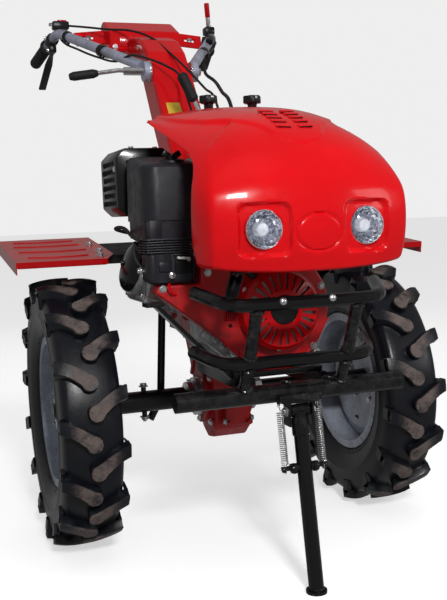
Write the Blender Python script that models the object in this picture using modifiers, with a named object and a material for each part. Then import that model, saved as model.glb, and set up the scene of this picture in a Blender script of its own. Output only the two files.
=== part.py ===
"""A walking tractor on its two wheels and its folding front stand, one object for each sub-part.

Modelled on the ground under the wheel axle, front towards -Y, right side towards -X, metres.
The root empty then moves it so that the origin is under the middle of the whole machine.
"""

import math

import bmesh
import bpy
from mathutils import Matrix, Vector

# Wheels: a 5.00-12 field tyre.
TYRE_RADIUS = 0.2925
TYRE_WIDTH = 0.140
BEAD_RADIUS = 0.152
RIM_LIP_RADIUS = 0.1666
RIM_HALF_WIDTH = 0.0435
TRACK = 0.716
RIM_SHEET = 0.0032
HUB_TUBE_RADIUS = 0.024
AXLE_RADIUS = 0.0165
AXLE_BORE = 0.0173

# Gearbox and hitch.
GEARBOX_WIDTH = 0.130
AXLE_BOSS_LENGTH = 0.110
COLLAR_RADIUS = 0.043
COLLAR_LENGTH = 0.034

# Engine, in front of the gearbox, crankshaft along Y.
CRANK_HEIGHT = 0.522
ENGINE_FRONT = -0.300
ENGINE_BACK = -0.100
CYLINDER_TILT = math.radians(20.0)
FAN_RADIUS = 0.081
CLUTCH_RADIUS = 0.098
SHROUD_RADIUS = 0.116
SHROUD_DEPTH = 0.044

# Front guard and stand.
GUARD_TUBE = 0.0125
CROSSBAR_TUBE = 0.0185
CROSSBAR_LENGTH = 0.470
CROSSBAR = Vector((0.0, -0.413, 0.367))
UPPER_BAR = Vector((0.0, -0.503, 0.547))
LOWER_BAR = Vector((0.0, -0.450, 0.434))
POST_SPACING = 0.200
STAND_PIVOT = Vector((0.0, -0.442, 0.336))
STAND_FOOT_Y = -0.497
LEG_TUBE = 0.0145
SPRING_RADIUS = 0.0072
SPRING_SPACING = 0.078
SPRING_PIN_HEIGHT = 0.231

# Hood and lamps.
HOOD_SHEET = 0.0025
LAMP_SPACING = 0.197
LAMP_HEIGHT = 0.681
LAMP_RADIUS = 0.0345
KNOB_SPACING = 0.100

# Handlebars.
TILT_AXIS = Vector((0.0, 0.318, 1.086))
COLUMN_WIDTH = 0.106
BAR_TUBE = 0.0135
BAR_CORNER = Vector((0.232, 0.640, 1.243))
BAR_END = Vector((0.268, 0.845, 1.190))
DISC_RADIUS = 0.026
DISC_THICKNESS = 0.018
CLAMP_BOLT = 0.006
CONSOLE_WIDTH = 0.206

# Fits.
GAP = 0.0003
TURNING_GAP = 0.0008
WHEEL_STEPS = 32

COLOURS = {
    "red_paint": ((0.62, 0.012, 0.010), 0.30, 0.0),
    "black_paint": ((0.012, 0.012, 0.014), 0.35, 0.0),
    "rubber": ((0.018, 0.018, 0.020), 0.80, 0.0),
    "rim_paint": ((0.50, 0.52, 0.55), 0.40, 0.3),
    "aluminium": ((0.50, 0.50, 0.51), 0.45, 1.0),
    "zinc": ((0.62, 0.62, 0.64), 0.30, 1.0),
    "handle_paint": ((0.62, 0.62, 0.70), 0.35, 0.2),
    "black_plastic": ((0.020, 0.020, 0.022), 0.45, 0.0),
    "lamp_glass": ((0.75, 0.78, 0.80), 0.08, 0.0),
}


def clear_scene():
    for obj in list(bpy.data.objects):
        bpy.data.objects.remove(obj)


def make_collection(name):
    collection = bpy.data.collections.new(name)
    bpy.context.scene.collection.children.link(collection)
    return collection


def material(name):
    found = bpy.data.materials.get(name)
    if found:
        return found
    colour, roughness, metallic = COLOURS[name]
    made = bpy.data.materials.new(name)
    made.use_nodes = True
    shader = made.node_tree.nodes["Principled BSDF"]
    shader.inputs["Base Color"].default_value = (*colour, 1.0)
    shader.inputs["Roughness"].default_value = roughness
    shader.inputs["Metallic"].default_value = metallic
    return made


def place(obj, finish, parent=None):
    """Puts an object in the tractor's collection with its material and its parent."""
    for collection in list(obj.users_collection):
        collection.objects.unlink(obj)
    bpy.data.collections["walking_tractor"].objects.link(obj)
    obj.data.materials.clear()
    obj.data.materials.append(material(finish))
    obj.parent = parent or bpy.data.objects["root"]
    return obj


def mesh_object(name, bm, smooth=30.0):
    bmesh.ops.recalc_face_normals(bm, faces=bm.faces)
    mesh = bpy.data.meshes.new(name)
    bm.to_mesh(mesh)
    bm.free()
    mesh.shade_smooth()
    mesh.set_sharp_from_angle(angle=math.radians(smooth))
    obj = bpy.data.objects.new(name, mesh)
    bpy.context.scene.collection.objects.link(obj)
    return obj


def box(name, size, centre, turn=(0.0, 0.0, 0.0)):
    """A box of this size, its scale applied, placed by location and rotation."""
    bm = bmesh.new()
    bmesh.ops.create_cube(bm, size=1.0)
    bmesh.ops.scale(bm, vec=size, verts=bm.verts)
    obj = mesh_object(name, bm)
    obj.location = centre
    obj.rotation_euler = turn
    return obj


def cylinder(name, radius, length, centre, axis="Z", end_radius=None, sides=24):
    """A round bar along an axis; end_radius tapers it towards the positive end."""
    bm = bmesh.new()
    bmesh.ops.create_cone(
        bm,
        cap_ends=True,
        segments=sides,
        radius1=radius,
        radius2=radius if end_radius is None else end_radius,
        depth=length,
    )
    obj = mesh_object(name, bm)
    obj.location = centre
    turns = {"X": (0.0, math.pi / 2, 0.0), "Y": (-math.pi / 2, 0.0, 0.0), "Z": (0.0, 0.0, 0.0)}
    obj.rotation_euler = turns[axis]
    return obj


def bevel(obj, width, segments=2, angle=30.0):
    modifier = obj.modifiers.new("rounded edges", "BEVEL")
    modifier.width = width
    modifier.segments = segments
    modifier.limit_method = "ANGLE"
    modifier.angle_limit = math.radians(angle)
    return obj


def flat_outline(name, points, thickness, centre, turn):
    """A plate: its outline in the curve's own XY plane, extruded both ways by half its thickness."""
    curve = bpy.data.curves.new(name, "CURVE")
    curve.dimensions = "2D"
    curve.fill_mode = "BOTH"
    curve.extrude = thickness / 2
    spline = curve.splines.new("POLY")
    spline.points.add(len(points) - 1)
    for point, (x, y) in zip(spline.points, points):
        point.co = (x, y, 0.0, 1.0)
    spline.use_cyclic_u = True
    obj = bpy.data.objects.new(name, curve)
    bpy.context.scene.collection.objects.link(obj)
    obj.location = centre
    obj.rotation_euler = turn
    return obj


def as_mesh(obj):
    """The curve as a welded mesh, so that Booleans and bevels can work on it."""
    bpy.context.view_layer.update()
    graph = bpy.context.evaluated_depsgraph_get()
    mesh = bpy.data.meshes.new_from_object(obj.evaluated_get(graph))
    bm = bmesh.new()
    bm.from_mesh(mesh)
    bmesh.ops.remove_doubles(bm, verts=bm.verts, dist=0.00002)
    bmesh.ops.recalc_face_normals(bm, faces=bm.faces)
    bm.to_mesh(mesh)
    bm.free()
    mesh.shade_smooth()
    mesh.set_sharp_from_angle(angle=math.radians(30.0))
    name = obj.name
    matrix = obj.matrix_world.copy()
    bpy.data.objects.remove(obj)
    made = bpy.data.objects.new(name, mesh)
    bpy.context.scene.collection.objects.link(made)
    made.matrix_world = matrix
    return made


# An outline drawn in XY stands up in the YZ plane, or in the XZ plane, with these turns.
SIDE_ON = (math.pi / 2, 0.0, math.pi / 2)
FACE_ON = (math.pi / 2, 0.0, 0.0)


def rounded_path(points, bend):
    """The points of a bent tube: straight runs with a round bend at each inner point."""
    path = [Vector(points[0])]
    for before, corner, after in zip(points, points[1:], points[2:]):
        before, corner, after = Vector(before), Vector(corner), Vector(after)
        into, out = (corner - before).normalized(), (after - corner).normalized()
        turn = into.angle(out)
        room = min((corner - before).length, (after - corner).length) * 0.48
        cut = min(bend * math.tan(turn / 2), room)
        start, end = corner - into * cut, corner + out * cut
        steps = max(2, round(math.degrees(turn) / 15))
        for step in range(steps + 1):
            t = step / steps
            path.append(start.lerp(corner, t).lerp(corner.lerp(end, t), t))
    path.append(Vector(points[-1]))
    return path


def tube(name, points, radius, bend=0.04, sides=4):
    """A round bar or tube that follows the points, as a curve with a bevel and filled caps."""
    curve = bpy.data.curves.new(name, "CURVE")
    curve.dimensions = "3D"
    curve.bevel_depth = radius
    curve.bevel_resolution = sides
    curve.use_fill_caps = True
    path = rounded_path(points, bend)
    spline = curve.splines.new("POLY")
    spline.points.add(len(path) - 1)
    for point, place_at in zip(spline.points, path):
        point.co = (*place_at, 1.0)
    obj = bpy.data.objects.new(name, curve)
    bpy.context.scene.collection.objects.link(obj)
    return obj


def turned(name, profile, centre, axis, steps=24):
    """A turned solid: (radius, height) pairs down the outer side, turned about an axis."""
    mesh = bpy.data.meshes.new(name)
    points = [(radius, 0.0, height) for radius, height in profile]
    closed = profile[0][0] > 0.0001
    edges = [(i, i + 1) for i in range(len(points) - 1)]
    if closed:
        edges.append((len(points) - 1, 0))
    mesh.from_pydata(points, edges, [])
    obj = bpy.data.objects.new(name, mesh)
    bpy.context.scene.collection.objects.link(obj)
    screw = obj.modifiers.new("turned", "SCREW")
    screw.steps = steps
    screw.render_steps = steps
    screw.use_merge_vertices = True
    screw.merge_threshold = 0.00005
    screw.use_smooth_shade = True
    obj.location = centre
    turns = {"X": (0.0, math.pi / 2, 0.0), "-X": (0.0, -math.pi / 2, 0.0), "Z": (0.0, 0.0, 0.0)}
    turns["-Y"] = (math.pi / 2, 0.0, 0.0)
    obj.rotation_euler = turns[axis]
    return obj


def baked(obj):
    """The object with its modifiers and its place worked into a plain mesh."""
    bpy.context.view_layer.update()
    graph = bpy.context.evaluated_depsgraph_get()
    mesh = bpy.data.meshes.new_from_object(obj.evaluated_get(graph))
    mesh.transform(obj.matrix_world)
    name = obj.name
    bpy.data.objects.remove(obj)
    made = bpy.data.objects.new(name, mesh)
    bpy.context.scene.collection.objects.link(made)
    return made


def combine(base, others, operation="UNION"):
    """Joins the others to the base, or cuts them from it, and works the result into the mesh."""
    base = baked(base)
    for number, other in enumerate(others):
        other = baked(other)
        modifier = base.modifiers.new(f"{operation.lower()} {number}", "BOOLEAN")
        modifier.operation = operation
        modifier.solver = "EXACT"
        modifier.object = other
        base_name = base.name
        base = baked(base)
        base.name = base_name
        bpy.data.objects.remove(other)
    bm = bmesh.new()
    bm.from_mesh(base.data)
    bmesh.ops.remove_doubles(bm, verts=bm.verts, dist=0.00001)
    bmesh.ops.dissolve_limit(bm, angle_limit=math.radians(1.0), verts=bm.verts, edges=bm.edges)
    bm.to_mesh(base.data)
    bm.free()
    base.data.shade_smooth()
    base.data.set_sharp_from_angle(angle=math.radians(30.0))
    return base


def axis_empty(name, centre):
    """A moving group's parent, standing on its joint."""
    empty = bpy.data.objects.new(name, None)
    bpy.data.collections["walking_tractor"].objects.link(empty)
    empty.parent = bpy.data.objects["root"]
    empty.location = centre
    return empty


def hang(obj, finish, group):
    """Places an object modelled in the tractor's frame under a moving group."""
    place(obj, finish, group)
    obj.matrix_parent_inverse = Matrix.Translation(-group.location)
    return obj


# ---------------------------------------------------------------- wheels


def tyre(name, centre, group):
    half = TYRE_WIDTH / 2
    seat = RIM_HALF_WIDTH - RIM_SHEET - GAP
    bead = BEAD_RADIUS + GAP
    side = [
        (TYRE_RADIUS, 0.0),
        (TYRE_RADIUS - 0.004, half * 0.55),
        (TYRE_RADIUS - 0.012, half * 0.93),
        (TYRE_RADIUS - 0.050, half),
        (RIM_LIP_RADIUS + 0.018, half * 0.84),
        (RIM_LIP_RADIUS + 0.002, seat),
        (bead, seat),
    ]
    profile = [(r, -h) for r, h in side[:0:-1]] + [(r, h) for r, h in side]
    obj = turned(name, profile[::-1], centre, "X", WHEEL_STEPS)
    hang(obj, "rubber", group)


def rim(name, centre, outward, group):
    """A welded wheel: barrel with a lip on each side and a dished disc with its hub hole."""
    half, sheet = RIM_HALF_WIDTH, RIM_SHEET
    barrel_in, lip = BEAD_RADIUS - sheet, RIM_LIP_RADIUS
    hub = HUB_TUBE_RADIUS + GAP
    disc_outer = [(barrel_in, 0.014), (0.122, 0.004), (0.066, 0.016), (hub, 0.018)]
    disc_inner = [(r, h - 0.0045) for r, h in disc_outer[::-1]]
    profile = [
        (lip, half),
        (lip, half - sheet),
        (BEAD_RADIUS, half - sheet),
        (BEAD_RADIUS, sheet - half),
        (lip, sheet - half),
        (lip, -half),
        (barrel_in, -half),
        *disc_inner[::-1],
        *disc_outer[::-1],
        (barrel_in, half),
    ]
    obj = turned(name, profile, centre, "X" if outward > 0 else "-X", WHEEL_STEPS)
    hang(obj, "rim_paint", group)


def hub_tube(name, centre, outward, group):
    """The square-ended tube that carries the wheel, with the axle shaft inside and a cross pin."""
    inner = AXLE_BOSS_LENGTH / 2 + COLLAR_LENGTH + 0.006
    outer = TRACK / 2 + 0.024
    axis_end = AXLE_BOSS_LENGTH / 2 + 0.006
    y, z = centre.y, centre.z
    sleeve = cylinder(
        name, HUB_TUBE_RADIUS, outer - inner, (outward * (outer + inner) / 2, y, z), "X"
    )
    shaft = cylinder(
        "shaft", AXLE_RADIUS, inner - axis_end + 0.02, (outward * (inner + axis_end + 0.02) / 2, y, z), "X"
    )
    pin = cylinder("pin", 0.006, 0.070, (outward * 0.190, y, z), "Z", sides=12)
    plate = cylinder("plate", 0.052, 0.006, (outward * (TRACK / 2 + 0.0215), y, z), "X")
    obj = combine(sleeve, [shaft, pin, plate])
    hang(obj, "black_paint", group)


def wheels():
    for side, outward in (("right", -1.0), ("left", 1.0)):
        centre = Vector((outward * TRACK / 2, 0.0, TYRE_RADIUS))
        group = axis_empty(f"{side}_wheel_axis", centre)
        tyre(f"{side}_tyre", centre, group)
        rim(f"{side}_rim", centre, outward, group)
        hub_tube(f"{side}_hub_tube", centre, outward, group)


# ---------------------------------------------------------------- gearbox


def gearbox():
    """The cast case: upper box, clutch housing, tall leg and the axle boss at its foot."""
    outline = [
        (-0.030, 0.625),
        (0.120, 0.625),
        (0.150, 0.600),
        (0.160, 0.440),
        (0.110, 0.360),
        (0.062, 0.262),
        (0.020, 0.212),
        (-0.012, 0.196),
        (-0.036, 0.200),
        (-0.070, 0.226),
        (-0.070, 0.306),
        (-0.066, 0.380),
        (-0.040, 0.450),
    ]
    centre = (0.0, 0.0, 0.0)
    case = as_mesh(flat_outline("gearbox_case", outline, GEARBOX_WIDTH * 0.7, centre, SIDE_ON))
    bevel(case, 0.010)
    upper = box("upper", (GEARBOX_WIDTH, 0.150, 0.190), (0.0, 0.058, 0.5245))
    bevel(upper, 0.012)
    clutch = cylinder("clutch", CLUTCH_RADIUS, 0.080, (0.0, -0.0595, CRANK_HEIGHT), "Y")
    boss = cylinder("boss", 0.058, AXLE_BOSS_LENGTH, (0.0, 0.0, TYRE_RADIUS), "X")
    obj = combine(case, [upper, clutch, boss])
    place(obj, "red_paint")


def gearbox_cap():
    front_y = -0.070 - GAP
    cap = box("gearbox_cap", (0.062, 0.026, 0.064), (0.004, front_y - 0.013, 0.266))
    bevel(cap, 0.006)
    bolts = []
    for x, z in ((-0.020, 0.242), (0.028, 0.242), (-0.020, 0.290), (0.028, 0.290)):
        bolts.append(cylinder("bolt", 0.0062, 0.020, (x, front_y - 0.026, z), "Y", sides=6))
    place(combine(cap, bolts), "red_paint")


def axle_collars():
    for side, outward in (("right", -1.0), ("left", 1.0)):
        start = AXLE_BOSS_LENGTH / 2 + GAP
        profile = [
            (COLLAR_RADIUS - 0.008, COLLAR_LENGTH),
            (COLLAR_RADIUS - 0.008, 0.020),
            (COLLAR_RADIUS, 0.016),
            (COLLAR_RADIUS, 0.0),
            (AXLE_BORE, 0.0),
            (AXLE_BORE, COLLAR_LENGTH),
        ]
        centre = (outward * start, 0.0, TYRE_RADIUS)
        obj = turned(f"{side}_axle_collar", profile, centre, "X" if outward > 0 else "-X")
        place(obj, "zinc")


def rear_hitch():
    """A drawbar box behind the gearbox, open at the back, with its pin from above."""
    back = 0.160 + GAP
    middle = (0.0, back + 0.055, 0.470)
    body = box("rear_hitch", (0.090, 0.110, 0.090), middle)
    throat = box("throat", (0.060, 0.090, 0.056), (0.0, back + 0.075, 0.470))
    body = combine(body, [throat], "DIFFERENCE")
    hole = cylinder("hole", 0.010, 0.120, (0.0, back + 0.080, 0.470), "Z", sides=24)
    place(combine(body, [hole], "DIFFERENCE"), "black_paint")
    stem = cylinder("hitch_pin", 0.0092, 0.118, (0.0, back + 0.080, 0.4805), "Z", sides=24)
    head = cylinder("head", 0.014, 0.014, (0.0, back + 0.080, 0.5225), "Z", sides=24)
    place(combine(stem, [head]), "zinc")


# ---------------------------------------------------------------- engine


def tilted(x, y, z):
    """A point given along and across the leaning cylinder, in the tractor's frame."""
    along = Vector((-math.cos(CYLINDER_TILT), 0.0, math.sin(CYLINDER_TILT)))
    up = Vector((math.sin(CYLINDER_TILT), 0.0, math.cos(CYLINDER_TILT)))
    return Vector((0.0, y, CRANK_HEIGHT)) + along * x + up * z


def engine_block():
    """Crankcase with its flat foot and the finned cylinder that leans to the right side."""
    depth = ENGINE_BACK - ENGINE_FRONT
    middle = (ENGINE_FRONT + ENGINE_BACK) / 2
    case = box("engine_block", (0.215, depth, 0.195), (0.0, middle, 0.5075))
    bevel(case, 0.014)
    barrel = box("barrel", (0.120, 0.128, 0.118), tilted(0.135, middle, 0.0), (0, CYLINDER_TILT, 0))
    foot = box("foot", (0.215, 0.176, 0.014), (0.0, middle, 0.412))
    place(combine(case, [barrel, foot]), "aluminium")


def cylinder_head():
    middle = (ENGINE_FRONT + ENGINE_BACK) / 2
    obj = box(
        "cylinder_head", (0.046, 0.136, 0.130), tilted(0.2185, middle, 0.0), (0, CYLINDER_TILT, 0)
    )
    place(bevel(obj, 0.006), "aluminium")


def valve_cover():
    middle = (ENGINE_FRONT + ENGINE_BACK) / 2
    centre = tilted(0.2420, middle, 0.0)
    profile = [
        (0.0, 0.044),
        (0.020, 0.042),
        (0.036, 0.034),
        (0.044, 0.022),
        (0.046, 0.014),
        (0.053, 0.013),
        (0.053, 0.0),
        (0.0, 0.0),
    ]
    obj = turned("valve_cover", profile, centre, "-X")
    obj.rotation_euler = (0.0, CYLINDER_TILT - math.pi / 2, 0.0)
    place(obj, "black_paint")


def fan_shroud():
    """The red blower housing: a round front over the fan and a leg that follows the cylinder."""
    outline = []
    for step in range(13):
        angle = math.radians(-125 + step * 15)
        outline.append((SHROUD_RADIUS * math.cos(angle), CRANK_HEIGHT + SHROUD_RADIUS * math.sin(angle)))
    outline += [(-0.020, 0.652), (-0.140, 0.655), (-0.152, 0.640), (-0.152, 0.580)]
    outline += [(-0.236, 0.580), (-0.242, 0.566)]
    centre = (0.0, ENGINE_FRONT - GAP - SHROUD_DEPTH / 2, 0.0)
    shroud = as_mesh(flat_outline("fan_shroud", outline, SHROUD_DEPTH, centre, FACE_ON))
    place(bevel(shroud, 0.009, 3), "red_paint")


def recoil_starter():
    """The pull starter's round cover, standing forward of the blower housing."""
    start = ENGINE_FRONT - GAP - SHROUD_DEPTH - GAP
    profile = [
        (0.0, 0.048),
        (0.032, 0.048),
        (0.036, 0.044),
        (0.060, 0.042),
        (FAN_RADIUS - 0.006, 0.034),
        (FAN_RADIUS, 0.022),
        (FAN_RADIUS, 0.0),
        (0.0, 0.0),
    ]
    cover = turned("recoil_starter", profile, (0.0, start, CRANK_HEIGHT), "-Y")
    place(cover, "red_paint")


def air_cleaner():
    """The tall black air-cleaner cover on the right side, with its wing nut."""
    cover = box("air_cleaner", (0.120, 0.166, 0.172), (-0.192, -0.2465, 0.7555))
    bevel(cover, 0.024, 3)
    nut = cylinder("nut", 0.012, 0.022, (-0.180, -0.275, 0.846), "Z", sides=16)
    place(combine(cover, [nut]), "black_plastic")


def carburettor_cover():
    """Ribbed intake cover below the air cleaner, with the choke lever and one large screw."""
    middle = Vector((-0.2110, -0.3105, 0.6261))
    cover = box("carburettor_cover", (0.094, 0.0844, 0.0862), middle)
    bevel(cover, 0.008)
    ribs = []
    for step in range(4):
        ribs.append(box("rib", (0.098, 0.080, 0.0035), middle + Vector((0.0, -0.0045, 0.008 + step * 0.008))))
    screw = cylinder("screw", 0.0075, 0.012, middle + Vector((0.012, -0.046, -0.022)), "Y", sides=16)
    lever = box("lever", (0.030, 0.012, 0.006), middle + Vector((0.028, -0.045, -0.002)), (0.0, 0.2, 0.0))
    place(combine(cover, ribs + [screw, lever]), "black_plastic")


def muffler():
    """The silencer inside its perforated heat guard, behind the air cleaner."""
    guard = box("muffler", (0.120, 0.150, 0.140), (-0.202, -0.075, 0.784))
    bevel(guard, 0.016, 3)
    pipe = cylinder("pipe", 0.014, 0.035, (-0.202, 0.011, 0.752), "Y", sides=20)
    stub = box("stub", (0.020, 0.020, 0.066), (-0.186, -0.146, 0.6963))
    place(combine(guard, [pipe, stub]), "black_paint")


def fuel_tank():
    tank = box("fuel_tank", (0.250, 0.250, 0.120), (0.020, -0.220, 0.778))
    bevel(tank, 0.020, 2)
    feet = [box("foot", (0.150, 0.030, 0.122), (0.020, y, 0.6663)) for y in (-0.170, -0.265)]
    neck = cylinder("neck", 0.030, 0.030, (0.060, -0.300, 0.846), "Z", sides=24)
    place(combine(tank, feet + [neck]), "black_paint")


def engine_frame():
    """The pressed plate that carries the engine, from the gearbox's front to the crossbar."""
    bed = box("engine_frame", (0.170, 0.300, 0.012), (0.0, -0.2230, 0.3985))
    bevel(bed, 0.003)
    front, back = CROSSBAR.y + CROSSBAR_TUBE + GAP, -0.0735
    rails = []
    for x in (-0.075, 0.075):
        rails.append(box("rail", (0.016, back - front, 0.030), (x, (front + back) / 2, 0.3795)))
    riser = box("riser", (0.150, 0.019, 0.046), (0.0, -0.0760, 0.3960))
    place(combine(bed, rails + [riser]), "black_paint")


def right_frame_brace():
    """The flat bar that rises from the engine plate to the cylinder's side, under the blower housing."""
    low, high = Vector((-0.0905, -0.352, 0.3850)), Vector((-0.240, -0.322, 0.540))
    run = high - low
    lean = math.atan2(run.z, -run.x)
    middle = (low + high) / 2
    brace = box("right_frame_brace", (run.length + 0.004, 0.030, 0.008), middle, (0.0, lean, 0.0))
    pad = box("pad", (0.034, 0.036, 0.008), (-0.2440, -0.326, 0.5440))
    foot = box("foot", (0.014, 0.030, 0.026), (-0.0923 - GAP, -0.352, 0.3915))
    place(combine(brace, [pad, foot]), "black_paint")


def side_rod():
    """The round bar that hangs under the right side, bent outwards at its foot."""
    points = [(-0.121, 0.050, 0.545), (-0.137, 0.050, 0.285), (-0.165, 0.050, 0.238)]
    rod = as_mesh(tube("side_rod", points, 0.009, 0.03))
    inner = GEARBOX_WIDTH / 2 + GAP
    ear = box("ear", (0.121 - inner, 0.008, 0.026), (-(0.121 + inner) / 2, 0.050, 0.530))
    place(combine(rod, [ear]), "black_paint")


# ---------------------------------------------------------------- front guard and stand


def guard_strut(name, top, top_radius, foot, foot_radius):
    """A tube from the middle of one bar to the middle of another, its ends cut to fit round them."""
    strut = as_mesh(tube(name, [top, foot], GUARD_TUBE * 0.92))
    cutters = [
        cylinder("cut", top_radius + GAP, 0.10, top, "X", sides=48),
        cylinder("cut", foot_radius + GAP, 0.10, foot, "X", sides=48),
    ]
    place(combine(strut, cutters, "DIFFERENCE"), "black_paint")


def guard():
    """Two bars with bent ends and two posts, welded on the round crossbar."""
    for name, bar, end in (
        ("guard_upper_bar", UPPER_BAR, Vector((0.186, -0.405, 0.568))),
        ("guard_lower_bar", LOWER_BAR, Vector((0.180, -0.362, 0.452))),
    ):
        points = []
        for side in (-1.0, 1.0):
            corner = Vector((side * 0.150, bar.y, bar.z))
            tip = Vector((side * end.x, end.y, end.z))
            points += [tip, corner] if side < 0 else [corner, tip]
        place(tube(name, points, GUARD_TUBE, 0.055), "black_paint")
    for side, outward in (("right", -1.0), ("left", 1.0)):
        x = outward * POST_SPACING / 2
        upper, lower = Vector((x, *UPPER_BAR.yz)), Vector((x, *LOWER_BAR.yz))
        guard_strut(f"{side}_guard_post", upper, GUARD_TUBE, lower, GUARD_TUBE)
        guard_strut(f"{side}_guard_stay", lower, GUARD_TUBE, Vector((x, *CROSSBAR.yz)), CROSSBAR_TUBE)
    bar = cylinder("guard_crossbar", CROSSBAR_TUBE, CROSSBAR_LENGTH, CROSSBAR, "X")
    place(bar, "black_paint")


def stand():
    """The folding prop under the crossbar: bracket, slanting leg with its foot, and two springs."""
    y, z = STAND_PIVOT.y, STAND_PIVOT.z
    top = box("stand_bracket", (0.074, 0.026, 0.016), (0.0, y - 0.001, z + 0.024))
    ears = [box("ear", (0.004, 0.028, 0.052), (x, y, z - 0.002)) for x in (-0.0235, 0.0235)]
    bar = cylinder("cut", CROSSBAR_TUBE + GAP, 0.10, CROSSBAR, "X", sides=48)
    bracket = combine(combine(top, ears), [bar], "DIFFERENCE")
    pin = cylinder("pin", 0.0062, 0.060, STAND_PIVOT, "X", sides=20)
    place(combine(bracket, [pin]), "black_paint")
    group = axis_empty("stand_axis", STAND_PIVOT)
    foot = Vector((0.0, STAND_FOOT_Y, 0.0))
    down = (foot - STAND_PIVOT).normalized()
    reach = (foot - STAND_PIVOT).length
    leg = as_mesh(tube("stand_leg", [STAND_PIVOT + down * 0.003, foot + Vector((0, 0, 0.004))], LEG_TUBE))
    socket = as_mesh(tube("socket", [STAND_PIVOT + down * 0.014, STAND_PIVOT + down * 0.045], 0.0170))
    eye = cylinder("eye", 0.0120, 0.036, STAND_PIVOT, "X", sides=24)
    plate = cylinder("plate", 0.0200, 0.006, foot + Vector((0, 0, 0.003)), "Z", sides=28)
    at = STAND_PIVOT + down * ((z - SPRING_PIN_HEIGHT) / z * reach)
    cross = cylinder("cross", 0.0048, SPRING_SPACING + 0.014, at, "X", sides=16)
    collar = cylinder("collar", 0.0085, 0.056, at, "X", sides=16)
    whole = combine(leg, [socket, eye, plate, cross, collar])
    bore = cylinder("bore", 0.0062 + GAP, 0.060, STAND_PIVOT, "X", sides=20)
    hang(combine(whole, [bore], "DIFFERENCE"), "black_paint", group)
    for side, outward in (("right", -1.0), ("left", 1.0)):
        x = outward * SPRING_SPACING / 2
        start = Vector((x, y, z + 0.002))
        end = Vector((x, at.y, at.z + 0.0048 + GAP))
        spring = tube(f"{side}_stand_spring", [start, end], SPRING_RADIUS)
        hang(spring, "zinc", group)


# ---------------------------------------------------------------- hood and lamps

# Each row runs along the skin from the front's lower edge up, over the crown and back:
# the middle line (y, z), the corner crease (x, y, z) and the cut-away side's edge (x, y, z).
HOOD_ROWS = [
    ((-0.548, 0.611), (0.184, -0.518, 0.621), (0.199, -0.466, 0.626)),
    ((-0.557, 0.645), (0.187, -0.526, 0.650), (0.203, -0.462, 0.654)),
    ((-0.561, 0.682), (0.189, -0.529, 0.684), (0.205, -0.465, 0.690)),
    ((-0.558, 0.720), (0.189, -0.528, 0.716), (0.206, -0.472, 0.728)),
    ((-0.549, 0.758), (0.187, -0.522, 0.746), (0.203, -0.470, 0.758)),
    ((-0.530, 0.796), (0.180, -0.506, 0.774), (0.197, -0.462, 0.780)),
    ((-0.498, 0.834), (0.171, -0.479, 0.804), (0.191, -0.443, 0.804)),
    ((-0.448, 0.868), (0.166, -0.440, 0.832), (0.190, -0.402, 0.826)),
    ((-0.372, 0.899), (0.168, -0.378, 0.858), (0.194, -0.350, 0.847)),
    ((-0.290, 0.919), (0.178, -0.312, 0.878), (0.200, -0.296, 0.868)),
    ((-0.205, 0.930), (0.190, -0.256, 0.893), (0.205, -0.247, 0.886)),
    ((-0.130, 0.934), (0.199, -0.218, 0.903), (0.208, -0.213, 0.898)),
    ((-0.080, 0.935), (0.203, -0.196, 0.909), (0.208, -0.194, 0.904)),
]
HOOD_COLUMNS = 6


def hood_row(middle, crease, edge):
    """The points of one row from the middle to the right side's edge."""
    row = []
    for step in range(HOOD_COLUMNS + 1):
        part = step / HOOD_COLUMNS
        across = math.sin(part * math.pi / 2) ** 0.9
        y = middle[0] + (crease[1] - middle[0]) * across**2
        z = middle[1] + (crease[2] - middle[1]) * across**2.6
        row.append(Vector((crease[0] * across, y, z)))
    crease, edge = Vector(crease), Vector(edge)
    bow = (edge - crease) * 0.12
    row.append(crease.lerp(edge, 0.18) + Vector((bow.length * 0.5, 0.0, 0.0)))
    row.append(crease.lerp(edge, 0.55) + Vector((bow.length * 0.5, 0.0, 0.0)))
    row.append(edge)
    return row


def hood():
    """The pressed hood: a loft between the rows, mirrored, thickened inwards and holed for the lamps."""
    bm = bmesh.new()
    grid = []
    for middle, crease, edge in HOOD_ROWS:
        half = hood_row(middle, crease, edge)
        points = [Vector((-p.x, p.y, p.z)) for p in half[:0:-1]] + half
        grid.append([bm.verts.new(p) for p in points])
    for low, high in zip(grid, grid[1:]):
        for left in range(len(low) - 1):
            bm.faces.new((low[left], low[left + 1], high[left + 1], high[left]))
    skin = mesh_object("hood", bm, 25.0)
    solidify = skin.modifiers.new("sheet", "SOLIDIFY")
    solidify.thickness = HOOD_SHEET
    solidify.offset = -1.0
    solidify.use_even_offset = True
    holes = []
    for x in (-LAMP_SPACING / 2, LAMP_SPACING / 2):
        holes.append(cylinder("hole", LAMP_RADIUS + GAP, 0.120, (x, -0.545, LAMP_HEIGHT), "Y", sides=36))
    place(combine(skin, holes, "DIFFERENCE"), "red_paint")


def headlights():
    profile = [
        (0.0, 0.050),
        (0.018, 0.049),
        (LAMP_RADIUS - 0.006, 0.045),
        (LAMP_RADIUS, 0.040),
        (LAMP_RADIUS, 0.014),
        (0.026, 0.0),
        (0.0, 0.0),
    ]
    for side, x in (("right", -LAMP_SPACING / 2), ("left", LAMP_SPACING / 2)):
        lamp = turned(f"{side}_headlight", profile, (x, -0.504, LAMP_HEIGHT), "-Y")
        place(lamp, "lamp_glass")


def hood_bracket():
    """The strap over the tank that the two hood knobs screw down to."""
    strap = box("hood_bracket", (0.132, 0.026, 0.006), (0.0, -0.131, 0.9255))
    legs = []
    for x in (-0.063, 0.063):
        legs.append(box("leg", (0.006, 0.026, 0.088), (x, -0.131, 0.8823)))
    place(combine(strap, legs), "black_paint")


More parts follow.
